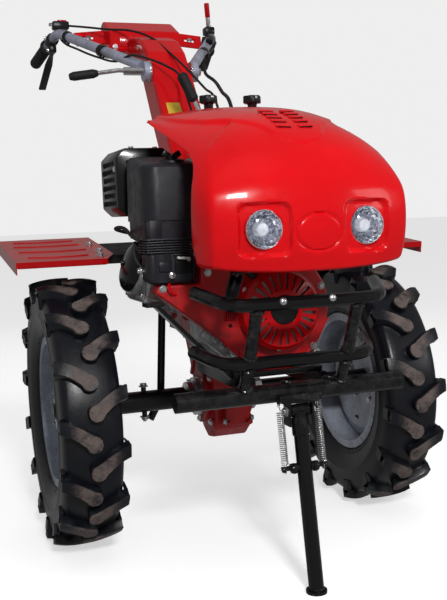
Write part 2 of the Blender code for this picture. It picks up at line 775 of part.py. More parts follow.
def hood_knobs():
    for side, x in (("right", -KNOB_SPACING / 2), ("left", KNOB_SPACING / 2)):
        base = Vector((x, -0.131, 0.9334 + GAP))
        outline = []
        for step in range(24):
            angle = math.tau * step / 24
            radius = 0.0190 + 0.0016 * math.cos(6 * angle)
            outline.append((radius * math.cos(angle), radius * math.sin(angle)))
        middle = base + Vector((0, 0, 0.0215))
        head = as_mesh(flat_outline(f"{side}_hood_knob", outline, 0.017, middle, (0, 0, 0)))
        bevel(head, 0.002)
        stem = cylinder("stem", 0.0105, 0.014, base + Vector((0, 0, 0.007)), "Z", sides=24)
        place(combine(head, [stem]), "black_plastic")


# ---------------------------------------------------------------- fenders

FENDER_CLEARANCE = 0.0425
FENDER_FRONT = Vector((0.0, -0.120, 2 * TYRE_RADIUS + FENDER_CLEARANCE))
FENDER_SLOPE = math.radians(6.0)
FENDER_LENGTH = 0.372
FENDER_OUTER = 0.472
FENDER_INNER = 0.250
FENDER_CORNER = 0.032
FENDER_SHEET = 0.002
BRACKET_SHEET = 0.004
BRACKET_REACH = 0.320
BRACKET_FOOT = 0.5655


def on_slope(obj):
    """Turns a piece modelled level at the fender's front edge onto the fender's slope."""
    made = baked(obj)
    made.data.transform(Matrix.Translation(FENDER_FRONT) @ Matrix.Rotation(FENDER_SLOPE, 4, "X"))
    return made


def fenders():
    """Sheet wings over the wheels with turned-down edges, on brackets from the gearbox's sides."""
    for side, outward in (("right", -1.0), ("left", 1.0)):
        outline = [
            (FENDER_INNER + FENDER_CORNER, 0.0),
            (FENDER_OUTER - 0.0005, 0.0),
            (FENDER_OUTER - 0.0005, FENDER_LENGTH),
            (FENDER_INNER, FENDER_LENGTH),
            (FENDER_INNER + 0.006, 0.065),
        ]
        outline = [(outward * x, y) for x, y in outline]
        sheet = as_mesh(flat_outline(f"{side}_fender", outline, FENDER_SHEET, (0, 0, 0), (0, 0, 0)))
        middle_x = outward * (FENDER_OUTER + FENDER_INNER + FENDER_CORNER) / 2
        span = FENDER_OUTER - FENDER_INNER - FENDER_CORNER
        edges = [
            box(
                "outer",
                (FENDER_SHEET, FENDER_LENGTH - 0.0008, 0.026),
                (outward * (FENDER_OUTER - FENDER_SHEET / 2), FENDER_LENGTH / 2, -0.0117),
            ),
            box("front", (span, FENDER_SHEET, 0.012), (middle_x, FENDER_SHEET / 2 - 0.0004, -0.0052)),
            box(
                "rear",
                (span, FENDER_SHEET, 0.012),
                (middle_x, FENDER_LENGTH - FENDER_SHEET / 2 + 0.0004, -0.0052),
            ),
        ]
        place(on_slope(combine(sheet, edges)), "red_paint")
        inner, reach = GEARBOX_WIDTH / 2 + GAP, BRACKET_REACH
        level = -FENDER_SHEET / 2 - GAP - BRACKET_SHEET / 2
        plate = box(
            f"{side}_fender_bracket",
            (reach - inner, 0.200, BRACKET_SHEET),
            (outward * (reach + inner) / 2, 0.160, level),
        )
        drop = FENDER_FRONT.z - BRACKET_FOOT
        flange = box(
            "flange",
            (BRACKET_SHEET, 0.150, drop),
            (outward * (inner + BRACKET_SHEET / 2), 0.185, level + 0.001 - drop / 2),
        )
        lip = box(
            "lip",
            (reach - inner - 0.030, BRACKET_SHEET, 0.018),
            (outward * (reach + inner) / 2, 0.062, level - 0.008),
        )
        place(on_slope(combine(plate, [flange, lip])), "black_paint")


# ---------------------------------------------------------------- handlebars


def column():
    """The red welded column that sweeps up and back from the gearbox to the console."""
    outline = [
        (-0.020, 0.625 + GAP),
        (0.100, 0.800),
        (0.224, 0.979),
        (0.300, 1.086),
        (0.345, 1.142),
        (0.400, 1.182),
        (0.470, 1.203),
        (0.5447, 1.210),
        (0.5447, 1.150),
        (0.480, 1.142),
        (0.432, 1.115),
        (0.388, 1.055),
        (0.310, 0.935),
        (0.190, 0.765),
        (0.115, 0.650),
        (0.100, 0.625 + GAP),
    ]
    body = as_mesh(flat_outline("handlebar_column", outline, COLUMN_WIDTH, (0, 0, 0), SIDE_ON))
    place(bevel(body, 0.006, 2, 40.0), "red_paint")


def console():
    """The red box on top of the column and its two side ears with slots."""
    outline = [
        (0.545, 1.178),
        (0.545, 1.234),
        (0.628, 1.276),
        (0.655, 1.268),
        (0.665, 1.190),
        (0.615, 1.168),
    ]
    body = as_mesh(flat_outline("console", outline, CONSOLE_WIDTH, (0, 0, 0), SIDE_ON))
    bevel(body, 0.006)
    wings, slots = [], []
    for side in (-1.0, 1.0):
        turn = (-0.45, side * 0.10, 0.0)
        wings.append(box("wing", (0.090, 0.004, 0.044), (side * 0.142, 0.612, 1.2240), turn))
        slots.append(box("slot", (0.030, 0.060, 0.009), (side * 0.150, 0.612, 1.2240), turn))
    place(combine(combine(body, wings), slots, "DIFFERENCE"), "red_paint")


def turned_between(name, profile, start, direction, steps=24):
    obj = turned(name, profile, start, "Z", steps)
    obj.rotation_euler = direction.to_track_quat("Z", "Y").to_euler()
    return obj


def clamp_lever():
    """The lever that locks the handlebars' tilt, with its nut through the column."""
    side = COLUMN_WIDTH / 2 + GAP
    start = side + TURNING_GAP + DISC_THICKNESS
    stud_length = start - side + 0.004
    hub = TILT_AXIS + Vector((-start, 0.0, 0.0))
    bend = hub + Vector((-0.062, 0.0, 0.002))
    tip = hub + Vector((-0.118, 0.0, -0.006))
    nut = cylinder("clamp_lever", 0.0105, 0.050, hub + Vector((-0.025, 0.0, 0.0)), "X", sides=8)
    rod = as_mesh(tube("rod", [hub + Vector((-0.040, 0, 0)), bend, tip], 0.0055, 0.05))
    studs = [
        cylinder("stud", CLAMP_BOLT, stud_length, TILT_AXIS + Vector((x, 0.0, 0.0)), "X", sides=20)
        for x in (-side - stud_length / 2, side + stud_length / 2)
    ]
    place(combine(nut, [rod, studs[0]]), "zinc")
    far_nut = cylinder("clamp_nut", 0.0105, 0.011, TILT_AXIS + Vector((start + 0.0055, 0, 0)), "X", sides=6)
    place(combine(far_nut, [studs[1]]), "zinc")
    direction = (tip - bend).normalized()
    profile = [(0.0, 0.074), (0.008, 0.073), (0.0115, 0.062), (0.0115, 0.012), (0.008, 0.0), (0.0, 0.0)]
    grip = turned_between("clamp_lever_grip", profile, tip + direction * GAP, direction, 20)
    place(grip, "black_plastic")


def handlebars():
    """Both handles turn on the clamp: end disc, bent tube, rubber grip, hand lever and switch."""
    group = axis_empty("handlebar_axis", TILT_AXIS)
    for side, outward in (("right", -1.0), ("left", 1.0)):
        flip = Vector((outward, 1.0, 1.0))
        disc_x = COLUMN_WIDTH / 2 + TURNING_GAP + DISC_THICKNESS / 2
        start = Vector((disc_x + 0.007, TILT_AXIS.y + 0.020, TILT_AXIS.z + 0.018))
        points = [start * flip, BAR_CORNER * flip, BAR_END * flip]
        bar = as_mesh(tube(f"{side}_handlebar", points, BAR_TUBE, 0.075))
        disc = cylinder("disc", DISC_RADIUS, DISC_THICKNESS, (outward * disc_x, *TILT_AXIS.yz), "X")
        bore = cylinder("bore", CLAMP_BOLT + TURNING_GAP, 0.060, (outward * disc_x, *TILT_AXIS.yz), "X")
        hang(combine(combine(bar, [disc]), [bore], "DIFFERENCE"), "handle_paint", group)
        corner, end = BAR_CORNER * flip, BAR_END * flip
        direction = (end - corner).normalized()
        bore, outer, length = BAR_TUBE + GAP, BAR_TUBE + 0.0035, 0.128
        profile = [
            (0.0, 0.006),
            (0.012, 0.005),
            (outer, -0.001),
            (outer, 0.012 - length),
            (outer + 0.004, 0.010 - length),
            (outer + 0.004, 0.004 - length),
            (bore, 0.004 - length),
            (bore, GAP),
            (0.0, GAP),
        ]
        grip = turned_between(f"{side}_grip", profile, end, direction)
        hang(grip, "black_plastic", group)
        hand_lever(side, corner, direction, outward, group)


def hand_lever(side, corner, direction, outward, group):
    """A clamp on the tube with its lever: the right one hangs below the grip, the left one stands up."""
    seat = corner + direction * 0.052
    if outward < 0:
        block = box(f"{side}_hand_lever", (0.020, 0.036, 0.024), seat + Vector((0.0, 0.0, -0.027)))
        tip = Vector((-0.252, 0.846, 1.112))
        root, bend = seat + Vector((0.0, 0.0, -0.032)), seat + Vector((0.0, 0.045, -0.046))
        blade = as_mesh(tube("blade", [root, bend, tip], 0.0055, 0.03))
        finish = "black_plastic"
    else:
        block = box(f"{side}_hand_lever", (0.022, 0.036, 0.026), seat + Vector((0.0, 0.0, 0.028)))
        tip = Vector((0.228, 0.668, 1.350))
        blade = as_mesh(tube("blade", [seat + Vector((0.0, 0.0, 0.030)), tip], 0.0065))
        finish = "red_paint"
    cut = as_mesh(tube("cut", [corner, seat + direction * 0.1], BAR_TUBE + GAP, sides=6))
    hang(combine(combine(block, [blade]), [cut], "DIFFERENCE"), finish, group)


def gear_lever():
    base = Vector((0.0, -0.060, CRANK_HEIGHT + CLUTCH_RADIUS + GAP))
    boss = cylinder("gear_lever", 0.016, 0.030, base + Vector((0, 0, 0.015)), "Z", end_radius=0.009, sides=24)
    top = Vector((-0.006, 0.098, 0.980))
    bend = Vector((0.004, 0.080, 0.945))
    rod = as_mesh(tube("rod", [base + Vector((0, 0, 0.02)), bend, top], 0.0055, 0.05))
    place(combine(boss, [rod]), "zinc")
    direction = Vector((-0.42, 0.05, 0.90)).normalized()
    profile = [(0.0, 0.072), (0.009, 0.071), (0.0135, 0.064), (0.0125, 0.006), (0.009, 0.0), (0.0, 0.0)]
    grip = turned_between("gear_lever_grip", profile, top + Vector((-0.0007, 0, 0.0026)), direction, 20)
    place(grip, "black_plastic")


def centre_on_origin():
    """Moves the root so that the origin lies under the middle of the whole machine."""
    bpy.context.view_layer.update()
    graph = bpy.context.evaluated_depsgraph_get()
    low, high = Vector((1e9,) * 3), Vector((-1e9,) * 3)
    for obj in bpy.data.collections["walking_tractor"].objects:
        if obj.type == "EMPTY":
            continue
        evaluated = obj.evaluated_get(graph)
        mesh = evaluated.to_mesh()
        for vertex in mesh.vertices:
            point = evaluated.matrix_world @ vertex.co
            low = Vector(map(min, low, point))
            high = Vector(map(max, high, point))
        evaluated.to_mesh_clear()
    bpy.data.objects["root"].location = (-(low.x + high.x) / 2, -(low.y + high.y) / 2, -low.z)


def build():
    clear_scene()
    make_collection("walking_tractor")
    root = bpy.data.objects.new("root", None)
    bpy.data.collections["walking_tractor"].objects.link(root)
    wheels()
    gearbox()
    gearbox_cap()
    axle_collars()
    rear_hitch()
    engine_block()
    cylinder_head()
    valve_cover()
    fan_shroud()
    recoil_starter()
    air_cleaner()
    carburettor_cover()
    muffler()
    fuel_tank()
    engine_frame()
    right_frame_brace()
    side_rod()
    guard()
    stand()
    hood()
    headlights()
    hood_bracket()
    hood_knobs()
    fenders()
    column()
    console()
    clamp_lever()
    handlebars()
    gear_lever()
    centre_on_origin()


build()
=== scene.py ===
"""A walking tractor: paint, rubber, castings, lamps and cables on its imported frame.

The places of all pieces follow the frame's own boxes. Lengths are in metres, the front is -Y
and the tractor's right side is -X.
"""

import math

import bmesh
import bpy
from mathutils import Matrix, Vector


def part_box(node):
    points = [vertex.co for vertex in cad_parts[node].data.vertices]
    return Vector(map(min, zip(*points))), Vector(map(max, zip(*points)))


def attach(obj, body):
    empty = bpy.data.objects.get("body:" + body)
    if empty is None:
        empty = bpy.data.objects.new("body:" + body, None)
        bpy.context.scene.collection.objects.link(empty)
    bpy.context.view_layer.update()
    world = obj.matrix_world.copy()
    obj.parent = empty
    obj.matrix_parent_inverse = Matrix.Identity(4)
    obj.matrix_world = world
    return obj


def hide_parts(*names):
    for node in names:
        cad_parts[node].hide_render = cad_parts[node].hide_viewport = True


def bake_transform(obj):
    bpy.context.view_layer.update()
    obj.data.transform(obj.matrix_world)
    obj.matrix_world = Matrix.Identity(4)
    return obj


bl_info = {
    "name": "Walking Tractor",
    "version": (1, 0, 0),
    "blender": (4, 5, 0),
    "location": "View3D > Sidebar > Tractor",
    "description": "Models and paints a walking tractor piece by piece on its frame",
    "category": "Add Mesh",
}

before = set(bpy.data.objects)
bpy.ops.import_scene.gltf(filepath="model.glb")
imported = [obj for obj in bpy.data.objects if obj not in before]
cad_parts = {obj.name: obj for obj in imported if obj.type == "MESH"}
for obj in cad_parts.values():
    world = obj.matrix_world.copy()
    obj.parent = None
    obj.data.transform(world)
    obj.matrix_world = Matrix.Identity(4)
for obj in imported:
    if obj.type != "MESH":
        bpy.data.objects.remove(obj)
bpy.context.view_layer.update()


def middle_of(node):
    low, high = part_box(node)
    return (low + high) / 2


AXLE = (middle_of("right_tyre") + middle_of("left_tyre")) / 2
TYRE_LOW, TYRE_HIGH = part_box("right_tyre")
TYRE_RADIUS = (TYRE_HIGH.z - TYRE_LOW.z) / 2
TYRE_HALF = (TYRE_HIGH.x - TYRE_LOW.x) / 2
WHEEL_X = middle_of("left_tyre").x
LAMP_LOW, LAMP_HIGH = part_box("left_headlight")
LAMP_RADIUS = (LAMP_HIGH.x - LAMP_LOW.x) / 2
LAMP = (LAMP_LOW + LAMP_HIGH) / 2
SIDES = (("right", -1.0), ("left", 1.0))


def at(x, y, z):
    """A point measured from the ground under the middle of the axle."""
    return Vector((x, AXLE.y + y, z))


# ---------------------------------------------------------------- sizes and colours


class TractorSizes(bpy.types.PropertyGroup):
    lug_count: bpy.props.IntProperty(
        name="Lugs per side", description="Tread bars on each side of a tyre", default=15, min=8, max=24
    )
    lug_width: bpy.props.FloatProperty(
        name="Lug width", description="Width of a tread bar", default=0.0262, unit="LENGTH"
    )
    pad_radius: bpy.props.FloatProperty(
        name="Pad radius", description="Radius of a tread bar's round end", default=0.0168, unit="LENGTH"
    )
    hood_sheet: bpy.props.FloatProperty(
        name="Hood sheet", description="Thickness of the pressed hood", default=0.0022, unit="LENGTH"
    )
    spring_turns: bpy.props.IntProperty(
        name="Spring turns", description="Turns in each stand spring", default=26, min=8, max=40
    )
    cable_diameter: bpy.props.FloatProperty(
        name="Cable diameter", description="Diameter of a control cable", default=0.0060, unit="LENGTH"
    )


def colour_property(name, description, default):
    return bpy.props.FloatVectorProperty(
        name=name, description=description, default=default, subtype="COLOR", size=3, min=0.0, max=1.0
    )


class TractorColours(bpy.types.PropertyGroup):
    red: colour_property("Red paint", "Gloss paint of the hood and castings", (0.80, 0.004, 0.008))
    black: colour_property("Black paint", "Gloss paint of the guard and brackets", (0.0045, 0.0045, 0.0052))
    rim: colour_property("Rim paint", "Pale paint of the wheel discs", (0.40, 0.44, 0.52))
    handle: colour_property("Handle paint", "Pale paint of the handle tubes", (0.42, 0.44, 0.56))
    rubber: colour_property("Tyre rubber", "Clean rubber of the tyres", (0.0055, 0.0062, 0.0095))
    worn: colour_property("Worn rubber", "Dusty faces of the tread bars", (0.135, 0.105, 0.095))
    plastic: colour_property("Engine plastic", "Black plastic of the engine's covers", (0.018, 0.017, 0.022))
    floor: colour_property("Floor", "Plain pale floor", (0.86, 0.86, 0.86))


# ---------------------------------------------------------------- finishes


class Finish:
    """A procedural material under construction, in object coordinates."""

    def __init__(self, name):
        self.material = bpy.data.materials.new(name)
        self.material.use_nodes = True
        self.tree = self.material.node_tree
        self.shader = self.tree.nodes["Principled BSDF"]
        self.coords = self.tree.nodes.new("ShaderNodeTexCoord").outputs["Object"]

    def set(self, **values):
        for key, value in values.items():
            name = key.replace("_", " ").title().replace("Ior", "IOR")
            if isinstance(value, (tuple, list)) and len(value) == 3:
                value = (*value, 1.0)
            self.shader.inputs[name].default_value = value
        return self

    def link(self, source, target):
        self.tree.links.new(source, target)

    def noise(self, scale, detail=4.0, roughness=0.55, stretch=None):
        node = self.tree.nodes.new("ShaderNodeTexNoise")
        node.inputs["Scale"].default_value = scale
        node.inputs["Detail"].default_value = detail
        node.inputs["Roughness"].default_value = roughness
        self.link(self.mapped(stretch), node.inputs["Vector"])
        return node.outputs["Fac"]

    def cells(self, scale, feature="F1", stretch=None):
        node = self.tree.nodes.new("ShaderNodeTexVoronoi")
        node.feature = feature
        node.inputs["Scale"].default_value = scale
        self.link(self.mapped(stretch), node.inputs["Vector"])
        return node.outputs["Distance"]

    def mapped(self, stretch):
        if stretch is None:
            return self.coords
        node = self.tree.nodes.new("ShaderNodeMapping")
        node.inputs["Scale"].default_value = stretch
        self.link(self.coords, node.inputs["Vector"])
        return node.outputs["Vector"]

    def spread(self, source, low, high, to_low=0.0, to_high=1.0):
        """Maps a range of the source onto another range, clamped."""
        node = self.tree.nodes.new("ShaderNodeMapRange")
        node.clamp = True
        for name, value in (("From Min", low), ("From Max", high), ("To Min", to_low), ("To Max", to_high)):
            node.inputs[name].default_value = value
        self.link(source, node.inputs["Value"])
        return node.outputs["Result"]

    def math(self, operation, a, b=0.0):
        node = self.tree.nodes.new("ShaderNodeMath")
        node.operation = operation
        for socket, value in zip(node.inputs, (a, b)):
            if isinstance(value, (int, float)):
                socket.default_value = value
            else:
                self.link(value, socket)
        return node.outputs["Value"]

    def mix(self, factor, a, b):
        """A colour between a and b; each is a colour or another mix."""
        node = self.tree.nodes.new("ShaderNodeMix")
        node.data_type = "RGBA"
        self.link(factor, node.inputs[0])
        for socket, value in ((node.inputs[6], a), (node.inputs[7], b)):
            if isinstance(value, bpy.types.NodeSocket):
                self.link(value, socket)
            else:
                socket.default_value = (*value, 1.0)
        return node.outputs[2]

    def axis(self, name):
        node = self.tree.nodes.new("ShaderNodeSeparateXYZ")
        self.link(self.coords, node.inputs[0])
        return node.outputs[name]

    def colour(self, source):
        self.link(source, self.shader.inputs["Base Color"])
        return self

    def rough(self, source):
        self.link(source, self.shader.inputs["Roughness"])
        return self

    def bump(self, height, strength, distance):
        node = self.tree.nodes.new("ShaderNodeBump")
        node.inputs["Strength"].default_value = strength
        node.inputs["Distance"].default_value = distance
        self.link(height, node.inputs["Height"])
        if self.shader.inputs["Normal"].is_linked:
            before = self.shader.inputs["Normal"].links[0].from_socket
            self.link(before, node.inputs["Normal"])
        self.link(node.outputs["Normal"], self.shader.inputs["Normal"])
        return self


def shade(colour, factor):
    return tuple(min(1.0, channel * factor) for channel in colour)


def edge_wear(finish, scale, low, high):
    """A mask of convex edges, broken up by noise, for paint worn through at corners."""
    node = finish.tree.nodes.new("ShaderNodeNewGeometry")
    pointed = finish.spread(node.outputs["Pointiness"], low, high)
    patches = finish.spread(finish.noise(scale, 6.0, 0.7), 0.42, 0.62)
    return finish.math("MULTIPLY", pointed, patches)


def red_gloss(name, colour, dust=0.0):
    """Sprayed gloss red: a slight orange-peel surface, faint cloudiness and settled dust on top faces."""
    made = Finish(name)
    cloud = made.spread(made.noise(7.0, 3.0), 0.35, 0.7)
    tone = made.mix(cloud, shade(colour, 0.86), colour)
    if dust:
        up = made.tree.nodes.new("ShaderNodeNewGeometry")
        split = made.tree.nodes.new("ShaderNodeSeparateXYZ")
        made.link(up.outputs["Normal"], split.inputs[0])
        level = made.spread(split.outputs["Z"], 0.55, 1.0)
        film = made.math("MULTIPLY", level, made.spread(made.noise(24.0, 6.0, 0.7), 0.3, 0.75, 0.0, dust))
        tone = made.mix(film, tone, (0.30, 0.13, 0.12))
        made.rough(made.math("ADD", made.math("MULTIPLY", film, 0.5), 0.24))
    else:
        made.rough(made.spread(made.noise(40.0, 5.0, 0.6), 0.3, 0.8, 0.16, 0.30))
    made.colour(tone)
    made.set(coat_weight=0.22, coat_roughness=0.06, specular_ior_level=0.12)
    made.bump(made.noise(260.0, 2.0), 0.10, 0.0006)
    return made.material


def black_gloss(name, colour, scuff=0.5):
    """Gloss black over tube: sparse pale scuffs, rubbed edges and a wet-looking clear coat."""
    made = Finish(name)
    scratches = made.spread(made.noise(120.0, 8.0, 0.75, (1.0, 0.35, 2.2)), 0.64, 0.70)
    patches = made.spread(made.noise(14.0, 4.0, 0.6), 0.50, 0.66)
    marks = made.math("MULTIPLY", made.math("MULTIPLY", scratches, patches), scuff)
    edges = made.math("MULTIPLY", edge_wear(made, 55.0, 0.56, 0.64), 0.25)
    both = made.math("MAXIMUM", marks, edges)
    made.colour(made.mix(both, colour, (0.12, 0.11, 0.115)))
    made.rough(made.math("ADD", made.math("MULTIPLY", both, 0.35), 0.20))
    made.set(coat_weight=0.14, coat_roughness=0.08, specular_ior_level=0.28)
    made.bump(made.noise(180.0, 3.0), 0.10, 0.0006)
    return made.material


def cast_red(name, colour):
    """Red paint over a sand casting: grainy surface and grime in the hollows."""
    made = Finish(name)
    grime = made.spread(made.noise(26.0, 7.0, 0.7), 0.52, 0.72, 0.0, 0.75)
    made.colour(made.mix(grime, colour, (0.05, 0.008, 0.008)))
    made.rough(made.spread(made.noise(60.0, 4.0), 0.3, 0.7, 0.30, 0.50))
    made.bump(made.noise(300.0, 5.0, 0.7), 0.35, 0.0014)
    return made.material


def cast_metal(name, colour, rough_low, rough_high, grime=0.6):
    """Bare casting or plated steel: cloudy tone, grain and oily stains."""
    made = Finish(name)
    stains = made.spread(made.noise(30.0, 7.0, 0.7), 0.50, 0.70, 0.0, grime)
    made.colour(made.mix(stains, colour, shade(colour, 0.22)))
    made.rough(made.spread(made.noise(50.0, 5.0), 0.3, 0.7, rough_low, rough_high))
    made.set(metallic=0.95)
    made.bump(made.noise(340.0, 4.0, 0.65), 0.20, 0.0008)
    return made.material


def moulded_plastic(name, colour, roughness):
    """Moulded plastic: fine grain, dust held in it and slightly uneven gloss."""
    made = Finish(name)
    dust = made.spread(made.noise(22.0, 7.0, 0.72), 0.52, 0.78, 0.0, 0.35)
    made.colour(made.mix(dust, colour, (0.060, 0.055, 0.063)))
    made.rough(made.spread(made.noise(45.0, 4.0), 0.3, 0.7, roughness - 0.10, roughness + 0.12))
    made.set(specular_ior_level=0.26)
    made.bump(made.noise(520.0, 3.0), 0.16, 0.0006)
    return made.material


def tyre_rubber(name, clean, worn):
    """Blue-black rubber with a sheen; the faces that touch the ground are scuffed brown."""
    made = Finish(name)
    across = made.math("SUBTRACT", made.axis("Y"), AXLE.y)
    height = made.math("SUBTRACT", made.axis("Z"), AXLE.z)
    square = made.math("ADD", made.math("MULTIPLY", across, across), made.math("MULTIPLY", height, height))
    radius = made.math("SQRT", square)
    crown = made.spread(radius, TYRE_RADIUS - 0.0052, TYRE_RADIUS - 0.0012)
    blotches = made.spread(made.noise(38.0, 7.0, 0.75), 0.32, 0.56)
    from_middle = made.math("SUBTRACT", made.math("ABSOLUTE", made.axis("X")), WHEEL_X)
    aside = made.math("ABSOLUTE", from_middle)
    speckle = made.spread(made.noise(160.0, 5.0, 0.8), 0.46, 0.60)
    shoulder = made.spread(aside, 0.026, 0.050)
    blotches = made.mix(shoulder, blotches, made.math("MULTIPLY", speckle, 0.45))
    tread = made.math("MULTIPLY", crown, blotches)
    dirt = made.math("MULTIPLY", made.spread(made.noise(18.0, 8.0, 0.75), 0.52, 0.78), 0.35)
    tone = made.mix(dirt, clean, (0.034, 0.029, 0.029))
    grain = made.spread(made.noise(420.0, 6.0, 0.8), 0.35, 0.65)
    dusty = made.mix(grain, shade(worn, 0.70), shade(worn, 1.35))
    made.colour(made.mix(tread, tone, dusty))
    made.rough(made.math("ADD", made.math("MULTIPLY", made.math("MAXIMUM", tread, dirt), 0.50), 0.30))
    made.set(specular_ior_level=0.34)
    made.bump(made.noise(150.0, 6.0, 0.7), 0.25, 0.0012)
    return made.material


def painted_disc(name, colour):
    """Pale silver-blue wheel paint with brake-dust grime and small chips."""
    made = Finish(name)
    grime = made.spread(made.noise(16.0, 7.0, 0.7), 0.45, 0.72, 0.0, 0.70)
    tone = made.mix(grime, colour, (0.13, 0.12, 0.12))
    chips = made.spread(made.cells(42.0), 0.10, 0.05)
    made.colour(made.mix(made.math("MULTIPLY", chips, 0.5), tone, (0.07, 0.06, 0.06)))
    made.rough(made.spread(made.noise(35.0, 4.0), 0.3, 0.7, 0.26, 0.45))
    made.set(metallic=0.30, coat_weight=0.25, coat_roughness=0.2)
    made.bump(made.noise(120.0, 3.0), 0.10, 0.0008)
    return made.material


def clear_glass(name):
    made = Finish(name)
    made.set(base_color=(0.97, 0.98, 1.0), roughness=0.03, transmission_weight=1.0, ior=1.46)
    made.bump(made.cells(150.0), 0.06, 0.0005)
    return made.material


def lamp_mirror(name):
    made = Finish(name)
    speckle = made.spread(made.cells(95.0), 0.05, 0.5)
    made.colour(made.mix(speckle, (0.94, 0.95, 1.0), (0.50, 0.52, 0.60)))
    made.set(metallic=1.0, roughness=0.10)
    made.bump(made.cells(105.0), 0.9, 0.004)
    return made.material


def plain_label(name, colour):
    """A printed label with no print: slightly faded, glossy; also gives the bulb its near-white colour, a
    painted highlight.
    """
    made = Finish(name)
    fade = made.spread(made.noise(60.0, 5.0, 0.7), 0.4, 0.7)
    made.colour(made.mix(fade, colour, shade(colour, 0.72)))
    made.set(roughness=0.35)
    made.bump(made.noise(200.0, 3.0), 0.05, 0.0004)
    return made.material


def floor_finish(name, colour):
    made = Finish(name)
    made.colour(made.mix(made.noise(3.0, 2.0), shade(colour, 0.99), colour))
    made.set(roughness=0.75, specular_ior_level=0.2, emission_color=tuple(colour), emission_strength=0.62)
    return made.material


def backdrop_finish(name, colour):
    made = Finish(name)
    made.set(base_color=(0.0, 0.0, 0.0), specular_ior_level=0.0, emission_color=colour,
             emission_strength=0.86)
    return made.material


FINISHES = {}


def mix_finishes(colours):
    """Makes every finish once, from the colours in the panel."""
    recipes = {
        "hood_red": (red_gloss, colours.red),
        "panel_red": (red_gloss, shade(colours.red, 0.82)),
        "fender_red": (red_gloss, shade(colours.red, 0.62), 0.45),
        "casting_red": (cast_red, shade(colours.red, 0.62)),
        "tube_black": (black_gloss, colours.black, 0.7),
        "sheet_black": (black_gloss, colours.black, 0.35),
        "matt_black": (moulded_plastic, colours.black, 0.62),
        "tyre_rubber": (tyre_rubber, colours.rubber, colours.worn),
        "soft_rubber": (moulded_plastic, (0.012, 0.012, 0.013), 0.55),
        "cover_plastic": (moulded_plastic, colours.plastic, 0.40),
        "knob_plastic": (moulded_plastic, (0.008, 0.008, 0.009), 0.22),
        "rim_paint": (painted_disc, colours.rim),
        "handle_paint": (painted_disc, colours.handle),
        "aluminium": (cast_metal, (0.56, 0.57, 0.58), 0.32, 0.55, 0.75),
        "zinc": (cast_metal, (0.70, 0.70, 0.72), 0.18, 0.36, 0.45),
        "dark_steel": (cast_metal, (0.10, 0.10, 0.105), 0.30, 0.50, 0.5),
        "glass": (clear_glass,),
        "lamp_mirror": (lamp_mirror,),
        "yellow_label": (plain_label, (0.75, 0.50, 0.04)),
        "white_label": (plain_label, (0.62, 0.62, 0.60)),
        # Near-black finish laid over holes, slots and openings: painted shade standing in for the dark inside
        # of each opening.
        "dark_hole": (moulded_plastic, (0.003, 0.003, 0.003), 0.70),
        # The bulb gets a near-white colour: a painted highlight standing in for the shine of its glass.
        "lamp_bulb": (plain_label, (0.92, 0.94, 1.0)),
        "fan_metal": (cast_metal, (0.32, 0.32, 0.33), 0.30, 0.50, 0.9),
        "lever_red": (moulded_plastic, shade(colours.red, 0.6), 0.30),
        "floor": (floor_finish, colours.floor),
        "backdrop": (backdrop_finish, (1.0, 1.0, 1.0)),
    }
    for name, (make, *values) in recipes.items():
        FINISHES[name] = make(name, *values)


# ---------------------------------------------------------------- modelling helpers


def settle(part, finish=0, place=None):
    """Closes seams, turns faces outwards and puts the part in its place."""
    bmesh.ops.remove_doubles(part, verts=part.verts, dist=1e-6)
    if place is not None:
        bmesh.ops.transform(part, matrix=place, verts=part.verts)
    bmesh.ops.recalc_face_normals(part, faces=part.faces)
    for face in part.faces:
        face.material_index = finish
    return part


def merge(bm, part):
    """Adds a part to a piece's mesh as it is."""
    mesh = bpy.data.meshes.new("part")
    part.to_mesh(mesh)
    part.free()
    bm.from_mesh(mesh)
    bpy.data.meshes.remove(mesh)


def join(bm, part, finish=0, place=None):
    """Adds a closed part to a piece's mesh."""
    merge(bm, settle(part, finish, place))


def shown(name, mesh, finishes):
    """An object at the origin with its finishes."""
    for finish in finishes:
        mesh.materials.append(FINISHES[finish])
    obj = bpy.data.objects.new(name, mesh)
    bpy.context.scene.collection.objects.link(obj)
    return obj


def piece(name, bm, body, finishes, smooth=35.0, replaced=()):
    """A finished piece at the origin, riding on its body."""
    mesh = bpy.data.meshes.new(name)
    bm.to_mesh(mesh)
    bm.free()
    mesh.shade_smooth()
    mesh.set_sharp_from_angle(angle=math.radians(smooth))
    obj = shown(name, mesh, finishes)
    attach(obj, body)
    if replaced:
        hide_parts(*replaced)
    return obj


def along(start, direction):
    """The matrix that takes +Z at the origin to a direction at a start point."""
    turn = Vector(direction).normalized().to_track_quat("Z", "Y").to_matrix().to_4x4()
    return Matrix.Translation(start) @ turn


def bar(bm, start, end, radius, sides=20, finish=0, end_radius=None, rounding=0.0):
    """A round bar between two points, its ends eased if rounding is given."""
    run = Vector(end) - Vector(start)
    part = bmesh.new()
    bmesh.ops.create_cone(
        part,
        cap_ends=True,
        segments=sides,
        radius1=radius,
        radius2=radius if end_radius is None else end_radius,
        depth=run.length,
    )
    if rounding:
        soften(part, rounding, 2, level_edges(part))
    join(bm, part, finish, along((Vector(start) + Vector(end)) / 2, run))


def soften(part, width, segments=2, edges=None):
    bmesh.ops.bevel(
        part,
        geom=list(part.edges if edges is None else edges),
        offset=width,
        segments=segments,
        profile=0.5,
        affect="EDGES",
        material=-1,
        clamp_overlap=True,
    )


def level_edges(part):
    return [e for e in part.edges if abs(e.verts[0].co.z - e.verts[1].co.z) < 1e-6]


def upright_box(size, corner):
    """A block's bmesh with only its upright edges rounded."""
    part = bmesh.new()
    bmesh.ops.create_cube(part, size=1.0)
    bmesh.ops.scale(part, vec=size, verts=part.verts)
    upright = [e for e in part.edges if abs(e.verts[0].co.z - e.verts[1].co.z) > 0.001]
    soften(part, corner, 6, upright)
    return part


def spokes(count, first=0.0):
    """Evenly spaced (cosine, sine) pairs round a circle."""
    for index in range(count):
        angle = math.tau * index / count + first
        yield math.cos(angle), math.sin(angle)


